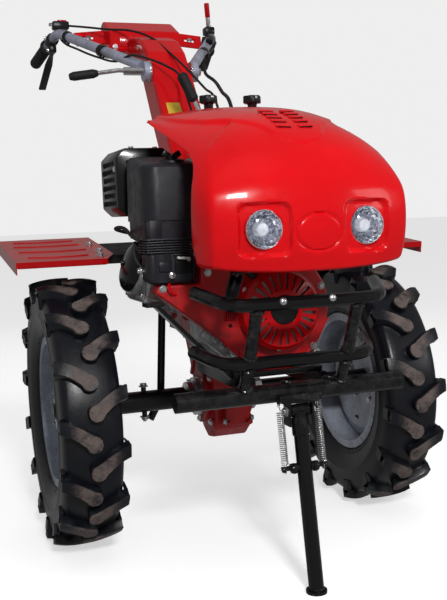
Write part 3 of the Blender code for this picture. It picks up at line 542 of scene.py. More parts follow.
def block(bm, size, centre, rounding=0.0015, finish=0, turn=None, segments=2):
    """A rectangular block with eased edges."""
    part = bmesh.new()
    bmesh.ops.create_cube(part, size=1.0)
    bmesh.ops.scale(part, vec=size, verts=part.verts)
    if rounding:
        soften(part, rounding, segments)
    place = Matrix.Translation(centre)
    join(bm, part, finish, place @ turn if turn is not None else place)


def lathe(bm, profile, start, direction, steps=32, finish=0):
    """A turned part: the profile's (radius, height) pairs spun about a direction."""
    part = bmesh.new()
    verts = [part.verts.new((radius, 0.0, height)) for radius, height in profile]
    edges = [part.edges.new(pair) for pair in zip(verts, verts[1:])]
    bmesh.ops.spin(
        part,
        geom=verts + edges,
        cent=(0.0, 0.0, 0.0),
        axis=(0.0, 0.0, 1.0),
        dvec=(0.0, 0.0, 0.0),
        angle=math.tau,
        steps=steps,
        use_merge=True,
        use_duplicate=False,
    )
    join(bm, part, finish, along(start, direction))


def bolt(bm, seat, direction, across=0.013, finish=0, washer=True, stud=0.0):
    """A hexagon head on its washer; across is its width over the flats."""
    direction = Vector(direction).normalized()
    seat = Vector(seat)
    if washer:
        lathe(bm, [(0.0, 0.0014), (across * 0.72, 0.0014), (across * 0.78, 0.0006), (across * 0.78, -0.0006)],
              seat, direction, 20, finish)
    part = bmesh.new()
    height = across * 0.42
    bmesh.ops.create_cone(
        part, cap_ends=True, segments=6, radius1=across * 0.577, radius2=across * 0.577, depth=height
    )
    soften(part, across * 0.05, 1)
    join(bm, part, finish, along(seat + direction * (0.0012 + height / 2), direction))
    if stud:
        bar(bm, seat + direction * 0.001, seat + direction * (height + stud), across * 0.3, 12, finish)


def swept(points, radius, sides=10, bend=0.0, smooth=False):
    """A round tube's bmesh along points: through them smoothly, or with rounded corners."""
    curve = bpy.data.curves.new("path", "CURVE")
    curve.dimensions = "3D"
    curve.bevel_depth = radius
    curve.bevel_resolution = max(1, sides // 4)
    curve.use_fill_caps = True
    curve.twist_mode = "MINIMUM"
    curve.resolution_u = 8
    points = [Vector(p) for p in points]
    if smooth:
        spline = curve.splines.new("BEZIER")
        spline.bezier_points.add(len(points) - 1)
        for knot, point in zip(spline.bezier_points, points):
            knot.co = point
            knot.handle_left_type = knot.handle_right_type = "AUTO"
    else:
        path = rounded(points, bend) if bend else points
        spline = curve.splines.new("POLY")
        spline.points.add(len(path) - 1)
        for knot, point in zip(spline.points, path):
            knot.co = (*point, 1.0)
    obj = bpy.data.objects.new("path", curve)
    bpy.context.scene.collection.objects.link(obj)
    mesh = bpy.data.meshes.new_from_object(obj)
    bpy.data.objects.remove(obj)
    bpy.data.curves.remove(curve)
    part = bmesh.new()
    part.from_mesh(mesh)
    bpy.data.meshes.remove(mesh)
    return part


def rounded(points, bend, steps=6):
    """The points with each inner corner replaced by an arc that starts bend before it."""
    path = [points[0]]
    for before, corner, after in zip(points, points[1:], points[2:]):
        reach = min(bend, (before - corner).length * 0.45, (after - corner).length * 0.45)
        start = corner + (before - corner).normalized() * reach
        end = corner + (after - corner).normalized() * reach
        for step in range(steps + 1):
            t = step / steps
            path.append(start * (1 - t) ** 2 + corner * 2 * t * (1 - t) + end * t**2)
    return path + [points[-1]]


def pipe(bm, points, radius, sides=12, bend=0.0, smooth=False, finish=0):
    join(bm, swept(points, radius, sides, bend, smooth), finish)


def weld_bead(bm, centre, direction, radius, finish=0, width=0.0042):
    """A ring of lapped weld metal round a joint."""
    part = bmesh.new()
    steps = 26
    direction = Vector(direction).normalized()
    place = along(centre, direction)
    for step in range(steps):
        angle = math.tau * step / steps
        turn = Matrix.Rotation(angle, 4, "Z") @ Matrix.Translation((radius, 0.0, 0.0))
        wobble = 1.0 + 0.22 * math.sin(step * 2.4)
        bmesh.ops.create_icosphere(
            part, subdivisions=1, radius=width * wobble, matrix=turn @ Matrix.Diagonal((0.75, 1.1, 0.8, 1.0))
        )
    join(bm, part, finish, place)


def repaint(node, finish):
    """Gives a kept CAD node a procedural finish."""
    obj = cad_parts[node]
    for slot in obj.material_slots:
        slot.material = FINISHES[finish]
    if not obj.material_slots:
        obj.data.materials.append(FINISHES[finish])


# ---------------------------------------------------------------- tyres


def crown_radius(x, height):
    """Radius of the tread's top (height 1) or of the rubber between the bars (height 0) at x."""
    part = min(1.0, abs(x) / TYRE_HALF)
    top = TYRE_RADIUS - 0.0085 * part**2.6
    base = TYRE_RADIUS - 0.0190 - 0.0075 * part**2.2
    return base + (top - base) * height


def lug_stations(width, pad):
    """Rows of a tread bar from the sidewall to its round end: centre x, run round the tyre, half width."""
    rows = []
    for step in range(9):
        u = step / 8
        x = TYRE_HALF * 0.955 * (1 - u) + 0.0045 * u
        run = 0.037 * (0.35 * u + 0.65 * u**1.7)
        rows.append([x, run, width * (0.54 - 0.06 * math.sin(u * math.pi))])
    end, before = Vector(rows[-1][:2]), Vector(rows[-2][:2])
    heading = (end - before).normalized()
    rows[-1][2] = pad
    rows[-2][2] = max(rows[-2][2], math.sqrt(max(0.0, pad**2 - (end - before).length ** 2)))
    for step in range(1, 5):
        turn = math.radians(22.5 * step)
        point = end + heading * pad * math.sin(turn)
        rows.append([point.x, point.y, pad * math.cos(turn)])
    return rows


def lug(bm, outward, half, phase, width, pad):
    """One tread bar: a grid laid along the bar and lifted off the rubber, wrapped round the tyre."""
    rows = lug_stations(width, pad)
    side_rows = 3
    part = bmesh.new()
    columns = (-1.16, -1.03, -0.93, -0.35, 0.35, 0.93, 1.03, 1.16)
    heights = (-0.12, 0.82, 0.98, 1.0, 1.0, 0.98, 0.82, -0.12)
    total = side_rows + len(rows)
    bmesh.ops.create_grid(part, x_segments=total - 1, y_segments=len(columns) - 1, size=1.0)
    part.verts.ensure_lookup_table()
    order = sorted(part.verts, key=lambda v: (round(v.co.x, 5), v.co.y))
    wheel_x = outward * WHEEL_X
    for index, vertex in enumerate(order):
        row, column = divmod(index, len(columns))
        share, height = columns[column], heights[column]
        if row < side_rows:
            low = row / side_rows
            x = TYRE_HALF * (0.945 + 0.052 * low if height > 0.5 else 0.86)
            radius = TYRE_RADIUS - 0.050 + 0.036 * low + (0.0 if height > 0.5 else -0.002)
            x -= 0.0 if height > 0.9 else 0.0012
            run = share * rows[0][2]
        else:
            cx, centre_run, reach = rows[row - side_rows]
            following = rows[min(row - side_rows + 1, len(rows) - 1)]
            previous = rows[max(row - side_rows - 1, 0)]
            heading = Vector((following[0] - previous[0], following[1] - previous[1])).normalized()
            normal = Vector((-heading.y, heading.x))
            if row == side_rows:
                normal = Vector((0.0, -1.0))
            x = cx + normal.x * share * reach
            run = centre_run + normal.y * share * reach
            x = min(x, TYRE_HALF * 0.985)
            radius = crown_radius(x, height)
            if row == side_rows:
                radius -= 0.0012 * max(height, 0.0)
                x = TYRE_HALF * (0.985 if height > 0.9 else 0.965)
        angle = phase - run / (TYRE_RADIUS - 0.01)
        vertex.co = (
            wheel_x + outward * half * x,
            AXLE.y - radius * math.cos(angle),
            AXLE.z + radius * math.sin(angle),
        )
    join(bm, part)


FIRST_LUG = math.radians(28.5)


class TRACTOR_OT_tyres(bpy.types.Operator):
    """Models both field tyres: casing, sidewall rings and two rows of curved tread bars"""

    bl_idname = "tractor.tyres"
    bl_label = "Tyres"

    def execute(self, context):
        sizes = context.scene.tractor_sizes
        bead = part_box("right_rim")[1].z - AXLE.z
        for side, outward in SIDES:
            bm = bmesh.new()
            lathe(bm, self.casing(bead), Vector((outward * WHEEL_X, AXLE.y, AXLE.z)), (1.0, 0.0, 0.0), 96)
            pitch = math.tau / sizes.lug_count
            for count in range(sizes.lug_count):
                for half, offset in ((1.0, 0.0), (-1.0, 0.5)):
                    phase = FIRST_LUG + pitch * (count + offset)
                    lug(bm, outward, half, phase, sizes.lug_width, sizes.pad_radius)
            self.vent_hairs(bm, outward, bead)
            piece(f"{side}_field_tyre", bm, f"{side}_wheel", ["tyre_rubber"], 28.0, [f"{side}_tyre"])
        return {"FINISHED"}

    def casing(self, bead):
        """Radius and offset from the tyre's middle, from the inner bead round the crown to the other."""
        seat = 0.0399
        half = [
            (0.1525, seat),
            (bead + 0.0015, seat + 0.0005),
            (bead + 0.0075, 0.0490),
            (bead + 0.0110, 0.0508),
            (bead + 0.0125, 0.0496),
            (bead + 0.0260, 0.0585),
            (0.2140, 0.0622),
            (0.2155, 0.0634),
            (0.2185, 0.0634),
            (0.2200, 0.0626),
            (0.2400, 0.0622),
            (0.2500, 0.0612),
            (0.2590, 0.0588),
            (0.2650, 0.0556),
            (0.2686, 0.0510),
            (crown_radius(0.046, 0.0), 0.0460),
            (crown_radius(0.030, 0.0), 0.0300),
            (crown_radius(0.012, 0.0), 0.0120),
        ]
        return half + [(radius, -offset) for radius, offset in half[::-1]] + [half[0]]

    def vent_hairs(self, bm, outward, bead):
        """The thin moulding spews that stand across the rim's edge."""
        for face in (-1.0, 1.0):
            for count in range(22):
                angle = math.tau * count / 22 + 0.07 * math.sin(count * 2.7)
                out = Vector((0.0, math.cos(angle), math.sin(angle)))
                root = Vector((outward * WHEEL_X + face * 0.0492, AXLE.y, AXLE.z)) + out * (bead + 0.009)
                tip = root - out * (0.011 + 0.006 * math.sin(count * 1.9)) + Vector((face * 0.002, 0.0, 0.0))
                bar(bm, root, tip, 0.0006, 5)


# ---------------------------------------------------------------- rims

DISC_BOLTS = 5


class TRACTOR_OT_wheel_fittings(bpy.types.Operator):
    """Fits hub bolts, disc holes (near-black discs, painted shade for the holes), valve stems and the hub
    tubes' cross bolts to both wheels
    """

    bl_idname = "tractor.wheel_fittings"
    bl_label = "Wheel fittings"

    def execute(self, context):
        for side, outward in SIDES:
            out = Vector((outward, 0.0, 0.0))
            bm = bmesh.new()
            hub = Vector((outward * (WHEEL_X + 0.0245), AXLE.y, AXLE.z))
            for y, z in spokes(DISC_BOLTS, 0.3):
                arm = Vector((0.0, y, z))
                bolt(bm, hub + arm * 0.040, out, 0.015, 0, stud=0.006)
                bolt(bm, hub - out * 0.0125 + arm * 0.060, -out, 0.013, 0)
            lathe(bm, [(0.0, 0.016), (0.013, 0.015), (0.017, 0.011), (0.017, 0.0), (0.0, 0.0)], hub, out, 28,
                  1)
            # The disc holes are near-black discs with a lip: painted shade standing in for the holes'
            # insides.
            for y, z in spokes(4, math.tau * 0.03):
                arm = Vector((0.0, y, z))
                for face in (-1.0, 1.0):
                    middle = Vector((outward * (WHEEL_X + 0.0062 + face * 0.0030), AXLE.y,
                                     AXLE.z)) + arm * 0.106
                    lean = out * face + arm * 0.15
                    lathe(bm, [(0.0, 0.0), (0.0062, 0.0), (0.0068, 0.0011), (0.0074, 0.0012), (0.0080, 0.0)],
                          middle, lean, 20, 2)
            valve = Vector((0.0, math.cos(2.6), math.sin(2.6)))
            foot = Vector((outward * (WHEEL_X + 0.026), AXLE.y, AXLE.z)) + valve * 0.150
            pipe(bm, [foot, foot - valve * 0.012 + out * 0.006, foot - valve * 0.026 + out * 0.016], 0.0042,
                 10, 0.01,
                 finish=3)
            bar(bm, foot - valve * 0.026 + out * 0.016, foot - valve * 0.033 + out * 0.0205, 0.0036, 12, 3)
            cross = Vector((outward * 0.190, AXLE.y, AXLE.z))
            bolt(bm, cross + Vector((0.0, 0.0, 0.0350)), (0.0, 0.0, 1.0), 0.014, 0)
            bolt(bm, cross - Vector((0.0, 0.0, 0.0350)), (0.0, 0.0, -1.0), 0.014, 0, stud=0.005)
            piece(f"{side}_wheel_fittings", bm, f"{side}_wheel",
                  ["zinc", "sheet_black", "dark_hole", "soft_rubber"])
        return {"FINISHED"}


# ---------------------------------------------------------------- hood

# The middle line (y, z), the corner crease (x, y, z) and the side's edge (x, y, z) of the pressed
# skin, from its lower front edge up over the brow and back.
HOOD_ROWS = (
    ((-0.548, 0.611), (0.184, -0.518, 0.621), (0.199, -0.466, 0.626)),
    ((-0.557, 0.645), (0.187, -0.526, 0.650), (0.203, -0.462, 0.654)),
    ((-0.561, 0.682), (0.189, -0.529, 0.684), (0.205, -0.465, 0.690)),
    ((-0.558, 0.720), (0.189, -0.528, 0.716), (0.206, -0.472, 0.728)),
    ((-0.549, 0.758), (0.187, -0.522, 0.746), (0.203, -0.470, 0.758)),
    ((-0.530, 0.796), (0.180, -0.506, 0.774), (0.197, -0.462, 0.780)),
    ((-0.498, 0.834), (0.171, -0.479, 0.804), (0.191, -0.443, 0.804)),
    ((-0.448, 0.868), (0.166, -0.440, 0.832), (0.190, -0.402, 0.826)),
    ((-0.372, 0.899), (0.168, -0.378, 0.858), (0.194, -0.350, 0.847)),
    ((-0.290, 0.919), (0.178, -0.312, 0.878), (0.200, -0.296, 0.868)),
    ((-0.205, 0.930), (0.190, -0.256, 0.893), (0.205, -0.247, 0.886)),
    ((-0.130, 0.934), (0.199, -0.218, 0.903), (0.208, -0.213, 0.898)),
    ((-0.080, 0.935), (0.203, -0.196, 0.909), (0.208, -0.194, 0.904)),
)
# Half width of the raised panel on the crown against its distance behind the axle.
CROWN_PANEL = ((-0.503, 0.0), (-0.495, 0.030), (-0.481, 0.047), (-0.449, 0.062), (-0.395, 0.100),
               (-0.351, 0.132), (-0.297, 0.156), (-0.240, 0.172), (-0.100, 0.185))
BADGE = Vector((0.0, 0.673))
BADGE_HALF = Vector((0.0435, 0.0335))


def smooth_step(low, high, value):
    t = min(1.0, max(0.0, (value - low) / (high - low)))
    return t * t * (3 - 2 * t)


def through(a, b, c, d, t):
    """Catmull-Rom value between b and c."""
    return 0.5 * (2 * b + (c - a) * t + (2 * a - 5 * b + 4 * c - d) * t**2 + (3 * b - a - 3 * c + d) * t**3)


def hood_row(v):
    """The middle, crease and edge points at a place along the skin."""
    last = len(HOOD_ROWS) - 1
    index = min(int(v), last - 1)
    t = v - index
    rows = [HOOD_ROWS[min(max(index + k, 0), last)] for k in (-1, 0, 1, 2)]
    return [Vector([through(*values, t) for values in zip(*(row[k] for row in rows))]) for k in range(3)]


def hood_point(v, part):
    """A point of the skin: part is 0 on the middle line, 1 on the crease and 2 on the side's edge."""
    curl = max(0.0, -v)
    middle, crease, edge = hood_row(max(0.0, v))
    side, reach = (-1.0 if part < 0 else 1.0), abs(part)
    if reach <= 1.0:
        point = Vector((
            crease.x * reach,
            middle[0] + (crease.y - middle[0]) * reach**2,
            middle[1] + (crease.z - middle[1]) * reach**2.6,
        ))
    else:
        q = reach - 1.0
        bow = (edge - crease).length * 0.06 * math.sin(math.pi * q) ** 0.7 if 0.0 < q < 1.0 else 0.0
        point = crease.lerp(edge, q) + Vector((bow, 0.0, 0.0))
    if curl:
        point.y += 0.011 * (1 - math.cos(curl * math.pi / 2))
        point.z -= 0.0075 * math.sin(curl * math.pi / 2)
        point.x *= 1 - 0.035 * curl
    return Vector((side * point.x, AXLE.y + point.y, point.z))


def hood_top(x, y):
    """Height of the skin's crown at a place given from the axle."""
    low, high = 4.0, len(HOOD_ROWS) - 1.0
    for _ in range(30):
        v = (low + high) / 2
        middle, crease, _ = hood_row(v)
        reach = min(1.0, abs(x) / crease.x)
        if middle[0] + (crease.y - middle[0]) * reach**2 < y:
            low = v
        else:
            high = v
    return middle[1] + (crease.z - middle[1]) * reach**2.6


def crown_panel(y):
    for (y0, w0), (y1, w1) in zip(CROWN_PANEL, CROWN_PANEL[1:]):
        if y0 <= y <= y1:
            return w0 + (w1 - w0) * (y - y0) / (y1 - y0)
    return -0.05 if y < CROWN_PANEL[0][0] else CROWN_PANEL[-1][1]


def hood_relief(point):
    """How far the pressed detail stands out of the plain skin at a point."""
    x, y, z = abs(point.x), point.y - AXLE.y, point.z
    relief = 0.0
    if z < 0.775:
        lamp = max(abs(x - LAMP.x), abs(z - LAMP.z + 0.001))
        corner = math.hypot(max(abs(x - LAMP.x) - 0.030, 0.0), max(abs(z - LAMP.z + 0.001) - 0.030, 0.0))
        inside = max(lamp - 0.030, 0.0) if corner == 0.0 else corner
        relief -= 0.0085 * (1 - smooth_step(0.0125, 0.0185, inside))
        ring = math.hypot(point.x / BADGE_HALF.x, (z - BADGE.y) / BADGE_HALF.y)
        relief -= 0.0034 * math.exp(-(((ring - 1.0) / 0.050) ** 2))
    if z > 0.82:
        raised = smooth_step(-0.005, 0.005, crown_panel(y) - x)
        relief += 0.0040 * raised * (1 - smooth_step(-0.43, -0.32, y))
        wing_front = -0.400 - (x - 0.100) * 0.75
        wing = smooth_step(-0.003, 0.003, y - wing_front) * (1 - raised) * smooth_step(0.085, 0.105, x)
        relief -= 0.0055 * wing
    return relief


class TRACTOR_OT_hood(bpy.types.Operator):
    """Presses the hood: brow, raised crown panel, lamp surrounds, blank badge ring and cut-away sides"""

    bl_idname = "tractor.hood"
    bl_label = "Hood"

    def execute(self, context):
        sheet = context.scene.tractor_sizes.hood_sheet
        front, side, curl, rise = 124, 16, 5, 150
        columns, rows = front + 2 * side, curl + rise
        bm = bmesh.new()
        bmesh.ops.create_grid(bm, x_segments=columns, y_segments=rows, size=1.0)
        crease = []
        for vertex in bm.verts:
            column = round((vertex.co.x + 1) / 2 * columns) - columns / 2
            row = round((vertex.co.y + 1) / 2 * rows) - curl
            part = column / (front / 2)
            if abs(column) > front / 2:
                part = math.copysign(1.0 + (abs(column) - front / 2) / side, column)
            v = row / rise * (len(HOOD_ROWS) - 1) if row >= 0 else row / curl
            vertex.co = hood_point(v, part)
            if abs(abs(column) - front / 2) < 4.5 and abs(column) < columns / 2:
                crease.append(vertex)
        for _ in range(7):
            bmesh.ops.smooth_vert(
                bm, verts=crease, factor=0.5, use_axis_x=True, use_axis_y=True, use_axis_z=True
            )
        bm.normal_update()
        if min(bm.verts, key=lambda v: v.co.y).normal.y > 0:
            bmesh.ops.reverse_faces(bm, faces=bm.faces)
        bm.normal_update()
        moved = [(vertex, vertex.normal * hood_relief(vertex.co)) for vertex in bm.verts]
        for vertex, shift in moved:
            vertex.co += shift
        self.lamp_holes(bm)
        obj = piece("pressed_hood", bm, "chassis", ["hood_red"], 32.0, ["hood"])
        thickness = obj.modifiers.new("sheet", "SOLIDIFY")
        thickness.thickness = sheet
        thickness.offset = -1.0
        self.louvres()
        return {"FINISHED"}

    def lamp_holes(self, bm):
        radius = LAMP_RADIUS - 0.0016
        for side in (-1.0, 1.0):
            centre = Vector((side * LAMP.x, LAMP.z))
            for vertex in bm.verts:
                if vertex.co.y > LAMP_HIGH.y or vertex.co.z > LAMP.z + 0.07:
                    continue
                arm = Vector((vertex.co.x, vertex.co.z)) - centre
                if abs(arm.length - radius) < 0.0020:
                    arm = centre + arm.normalized() * radius
                    vertex.co.x, vertex.co.z = arm
            gone = []
            for face in bm.faces:
                place = face.calc_center_median()
                arm = Vector((place.x, place.z)) - centre
                if place.y < LAMP_HIGH.y and arm.length < radius:
                    gone.append(face)
            bmesh.ops.delete(bm, geom=gone, context="FACES")

    def louvres(self):
        """Five slanted pressings on each side of the crown's middle line, each with its slot drawn as a
        near-black bar, painted shade for the opening.
        """
        bm = bmesh.new()
        for count in range(5):
            for side in (-1.0, 1.0):
                x, y = side * 0.0215, -0.4620 + 0.0205 * count
                rise = hood_top(x, y + 0.006) - hood_top(x, y - 0.006)
                tilt = Matrix.Rotation(math.atan2(rise, 0.012), 4, "X")
                z = hood_top(x, y) + 0.0045
                turn = tilt @ Matrix.Rotation(side * 0.10, 4, "Z")
                block(bm, (0.0300, 0.0095, 0.0046), at(x, y, z + 0.0004), 0.0020, 0, turn)
                # The slot is a near-black bar: painted shade standing in for the opening under the pressing.
                block(bm, (0.0260, 0.0020, 0.0016), at(x, y - 0.0056, z - 0.0018), 0.0004, 1, turn)
        piece("hood_louvres", bm, "chassis", ["hood_red", "dark_hole"])


class TRACTOR_OT_headlights(bpy.types.Operator):
    """Builds both lamps: mirrored bowl, bulb lens painted near-white as a highlight, trim ring and clear
    front glass
    """

    bl_idname = "tractor.headlights"
    bl_label = "Headlights"

    def execute(self, context):
        for side, _ in SIDES:
            node = f"{side}_headlight"
            low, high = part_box(node)
            start = Vector(((low.x + high.x) / 2, high.y, (low.z + high.z) / 2))
            depth = high.y - low.y
            forward = (0.0, -1.0, 0.0)
            radius = LAMP_RADIUS
            bm = bmesh.new()
            bowl = [(0.006, 0.010)]
            for step in range(9):
                share = step / 8
                bowl.append((0.008 + (radius - 0.0105) * share, 0.012 + 0.026 * share**1.8))
            back = [(radius - 0.0005, 0.0385), (radius - 0.0005, 0.014), (0.026, 0.0), (0.0, 0.0),
                    (0.0, 0.010)]
            lathe(bm, [(0.0, 0.010)] + bowl + back[:-1], start, forward, 48, 0)
            # The bulb's near-white colour is a painted highlight for the shine of its glass.
            lathe(bm, [(0.0, 0.0370), (0.006, 0.0362), (0.0105, 0.033), (0.0125, 0.027), (0.0125, 0.012)],
                  start, forward, 32, 1)
            lathe(bm, [(radius - 0.0022, 0.0400), (radius - 0.0006, 0.0418), (radius + 0.0002, 0.0395),
                       (radius - 0.0008, 0.0370), (radius - 0.0022, 0.0400)], start, forward, 48, 3)
            for x, z in spokes(12):
                arm = Vector((x, 0.0, z))
                root = start + Vector((0.0, -0.020, 0.0)) + arm * 0.0150
                bar(bm, root, root + arm * 0.018 + Vector((0.0, -0.0165, 0.0)), 0.0011, 6, 0)
            piece(f"{side}_lamp_bowl", bm, "chassis", ["lamp_mirror", "lamp_bulb", "tube_black", "zinc"])
            bm = bmesh.new()
            dome = [(0.0, depth - 0.0002), (0.018, depth - 0.0012), (radius - 0.007, depth - 0.0050),
                    (radius - 0.0012, depth - 0.0098)]
            inner = [(r * 0.97, h - 0.0016) for r, h in reversed(dome)]
            lathe(bm, dome + inner, start, forward, 48, 0)
            piece(f"{side}_lamp_glass", bm, "chassis", ["glass"], 60.0, [node])
        return {"FINISHED"}


class TRACTOR_OT_hood_knobs(bpy.types.Operator):
    """Turns the two star knobs on the hood, each on its washer"""

    bl_idname = "tractor.hood_knobs"
    bl_label = "Hood knobs"

    def execute(self, context):
        for side, _ in SIDES:
            node = f"{side}_hood_knob"
            low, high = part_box(node)
            base = Vector(((low.x + high.x) / 2, (low.y + high.y) / 2, low.z))
            reach = (high.x - low.x) / 2
            height = high.z - low.z
            bm = bmesh.new()
            part = bmesh.new()
            bmesh.ops.create_cone(part, cap_ends=True, segments=60, radius1=reach, radius2=reach * 0.97,
                                  depth=0.0165)
            for vertex in part.verts:
                angle = math.atan2(vertex.co.y, vertex.co.x)
                lobe = 0.905 + 0.095 * math.cos(6 * angle)
                vertex.co.x *= lobe
                vertex.co.y *= lobe
            soften(part, 0.0022, 3, level_edges(part))
            join(bm, part, 0, Matrix.Translation(base + Vector((0.0, 0.0, height - 0.00825))))
            lathe(bm, [(0.0, 0.0145), (0.0120, 0.0140), (0.0100, 0.010), (0.0098, 0.0015), (0.0, 0.0015)],
                  base, (0, 0, 1), 32, 0)
            lathe(bm, [(0.0, 0.0018), (0.0125, 0.0018), (0.0132, 0.0012), (0.0132, 0.0), (0.0, 0.0)],
                  base, (0, 0, 1), 32, 1)
            lathe(bm, [(0.0, 0.0004), (0.0075, 0.0004), (0.0085, -0.0005), (0.0, -0.0005)],
                  base + Vector((0.0, 0.0, height)), (0, 0, 1), 24, 0)
            piece(f"{side}_star_knob", bm, "chassis", ["knob_plastic", "zinc"], 35.0, [node])
        return {"FINISHED"}


# ---------------------------------------------------------------- engine

CYLINDER_TILT = math.radians(20.0)
CRANK = at(0.0, 0.0, 0.522)
ENGINE_MIDDLE = middle_of("cylinder_head").y - AXLE.y


def on_cylinder(along_bore, across):
    """A point measured along the leaning cylinder from the crankshaft, and across it upwards."""
    outwards = Vector((-math.cos(CYLINDER_TILT), 0.0, math.sin(CYLINDER_TILT)))
    upwards = Vector((math.sin(CYLINDER_TILT), 0.0, math.cos(CYLINDER_TILT)))
    return at(0.0, ENGINE_MIDDLE, CRANK.z) + outwards * along_bore + upwards * across


class TRACTOR_OT_starter(bpy.types.Operator):
    """Forms the pull starter: slotted red cover over the fan and its plain black centre"""

    bl_idname = "tractor.starter"
    bl_label = "Pull starter"

    def execute(self, context):
        low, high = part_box("recoil_starter")
        start = Vector(((low.x + high.x) / 2, high.y, (low.z + high.z) / 2))
        radius = (high.x - low.x) / 2
        depth = high.y - low.y
        bm = bmesh.new()
        cover = bmesh.new()
        profile = [
            (0.0285, depth - 0.0030), (0.0300, depth - 0.0018), (0.0380, depth - 0.0030),
            (0.0400, depth - 0.0036),
            (0.0700, depth - 0.0080), (0.0725, depth - 0.0088), (radius - 0.006, depth - 0.0130),
            (radius - 0.0015, depth - 0.0180), (radius, depth - 0.0260), (radius, 0.010),
            (radius - 0.0005, 0.0),
        ]
        verts = [cover.verts.new((r, 0.0, h)) for r, h in profile]
        edges = [cover.edges.new(pair) for pair in zip(verts, verts[1:])]
        slots, per_slot = 24, 5
        bmesh.ops.spin(cover, geom=verts + edges, cent=(0, 0, 0), axis=(0, 0, 1), dvec=(0, 0, 0),
                       angle=math.tau, steps=slots * per_slot, use_merge=True, use_duplicate=False)
        bmesh.ops.remove_doubles(cover, verts=cover.verts, dist=1e-6)
        bmesh.ops.recalc_face_normals(cover, faces=cover.faces)
        cover.normal_update()
        if sum(f.normal.z * f.calc_area() for f in cover.faces) < 0:
            bmesh.ops.reverse_faces(cover, faces=cover.faces)
        chosen = []
        for face in cover.faces:
            centre = face.calc_center_median()
            reach = math.hypot(centre.x, centre.y)
            sector = math.floor((math.atan2(centre.y, centre.x) % math.tau) / math.tau * slots * per_slot)
            if 0.041 < reach < 0.069 and sector % per_slot in (1, 2):
                chosen.append(face)
        made = bmesh.ops.extrude_face_region(cover, geom=chosen)
        sunk = [v for v in made["geom"] if isinstance(v, bmesh.types.BMVert)]
        bmesh.ops.translate(cover, vec=(0.0, 0.0, -0.0075), verts=sunk)
        bmesh.ops.delete(cover, geom=chosen, context="FACES")
        floor = [f for f in made["geom"] if isinstance(f, bmesh.types.BMFace)]
        place = along(start, (0.0, -1.0, 0.0))
        bmesh.ops.transform(cover, matrix=place, verts=cover.verts)
        for face in floor:
            face.material_index = 1
        merge(bm, cover)
        lathe(bm, [(0.0, depth), (0.020, depth - 0.0004), (0.0275, depth - 0.0016), (0.0292, depth - 0.0036),
                   (0.0292, depth - 0.012), (0.0, depth - 0.012)], start, (0.0, -1.0, 0.0), 48, 2)
        for x, z in spokes(3, 0.5):
            arm = Vector((x, 0.0, z))
            seat = start + arm * (radius - 0.004) + Vector((0.0, -0.008, 0.0))
            block(bm, (0.016, 0.014, 0.016), seat, 0.003, 0)
            bolt(bm, seat + Vector((0.0, -0.007, 0.0)), (0.0, -1.0, 0.0), 0.010, 3)
        handle = start + Vector((-radius * 0.62, -0.016, radius * 0.80))
        block(bm, (0.034, 0.016, 0.013), handle + Vector((-0.008, 0.0, 0.008)), 0.005, 2,
              Matrix.Rotation(0.7, 4, "Y"))
        piece("slotted_starter", bm, "chassis", ["panel_red", "fan_metal", "knob_plastic", "zinc"],
              30.0,
              ["recoil_starter"])
        self.shroud_details()
        return {"FINISHED"}

    def shroud_details(self):
        """Louvres with near-black slits, a drain hole as a near-black disc (both painted shade for the
        openings), flange screws and the rolled edge of the blower housing.
        """
        face_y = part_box("fan_shroud")[0].y - AXLE.y
        bm = bmesh.new()
        for count in range(5):
            x = -0.1040 + count * 0.0046
            # Each louvre's slit is a thin near-black bar: painted shade for the opening.
            block(bm, (0.0022, 0.0012, 0.022), at(x, face_y - 0.0004, 0.514), 0.0003, 1,
                  Matrix.Rotation(0.15, 4, "Y"))
            block(bm, (0.0020, 0.0030, 0.023), at(x - 0.0024, face_y - 0.0008, 0.514), 0.0008, 0,
                  Matrix.Rotation(0.15, 4, "Y"))
        # The drain hole is a near-black disc with a lip: painted shade for the hole.
        lathe(bm, [(0.0, 0.0008), (0.0026, 0.0006), (0.0032, 0.0012), (0.0040, 0.0)],
              at(-0.096, face_y, 0.494),
              (0, -1, 0), 18, 1)
        for x, z in ((-0.138, 0.600), (-0.140, 0.640), (-0.024, 0.640), (0.100, 0.560), (0.080, 0.440),
                     (-0.060, 0.430), (-0.228, 0.574)):
            bolt(bm, at(x, face_y, z), (0, -1, 0), 0.010, 2)
        edge = [(-0.232, 0.574), (-0.150, 0.510), (-0.068, 0.427), (0.0, 0.4085), (0.066, 0.4275),
                (0.1135, 0.494)]
        pipe(bm, [at(x, face_y + 0.004, z) for x, z in edge], 0.0034, 10, smooth=True, finish=0)
        piece("shroud_details", bm, "chassis", ["panel_red", "dark_hole", "zinc"])


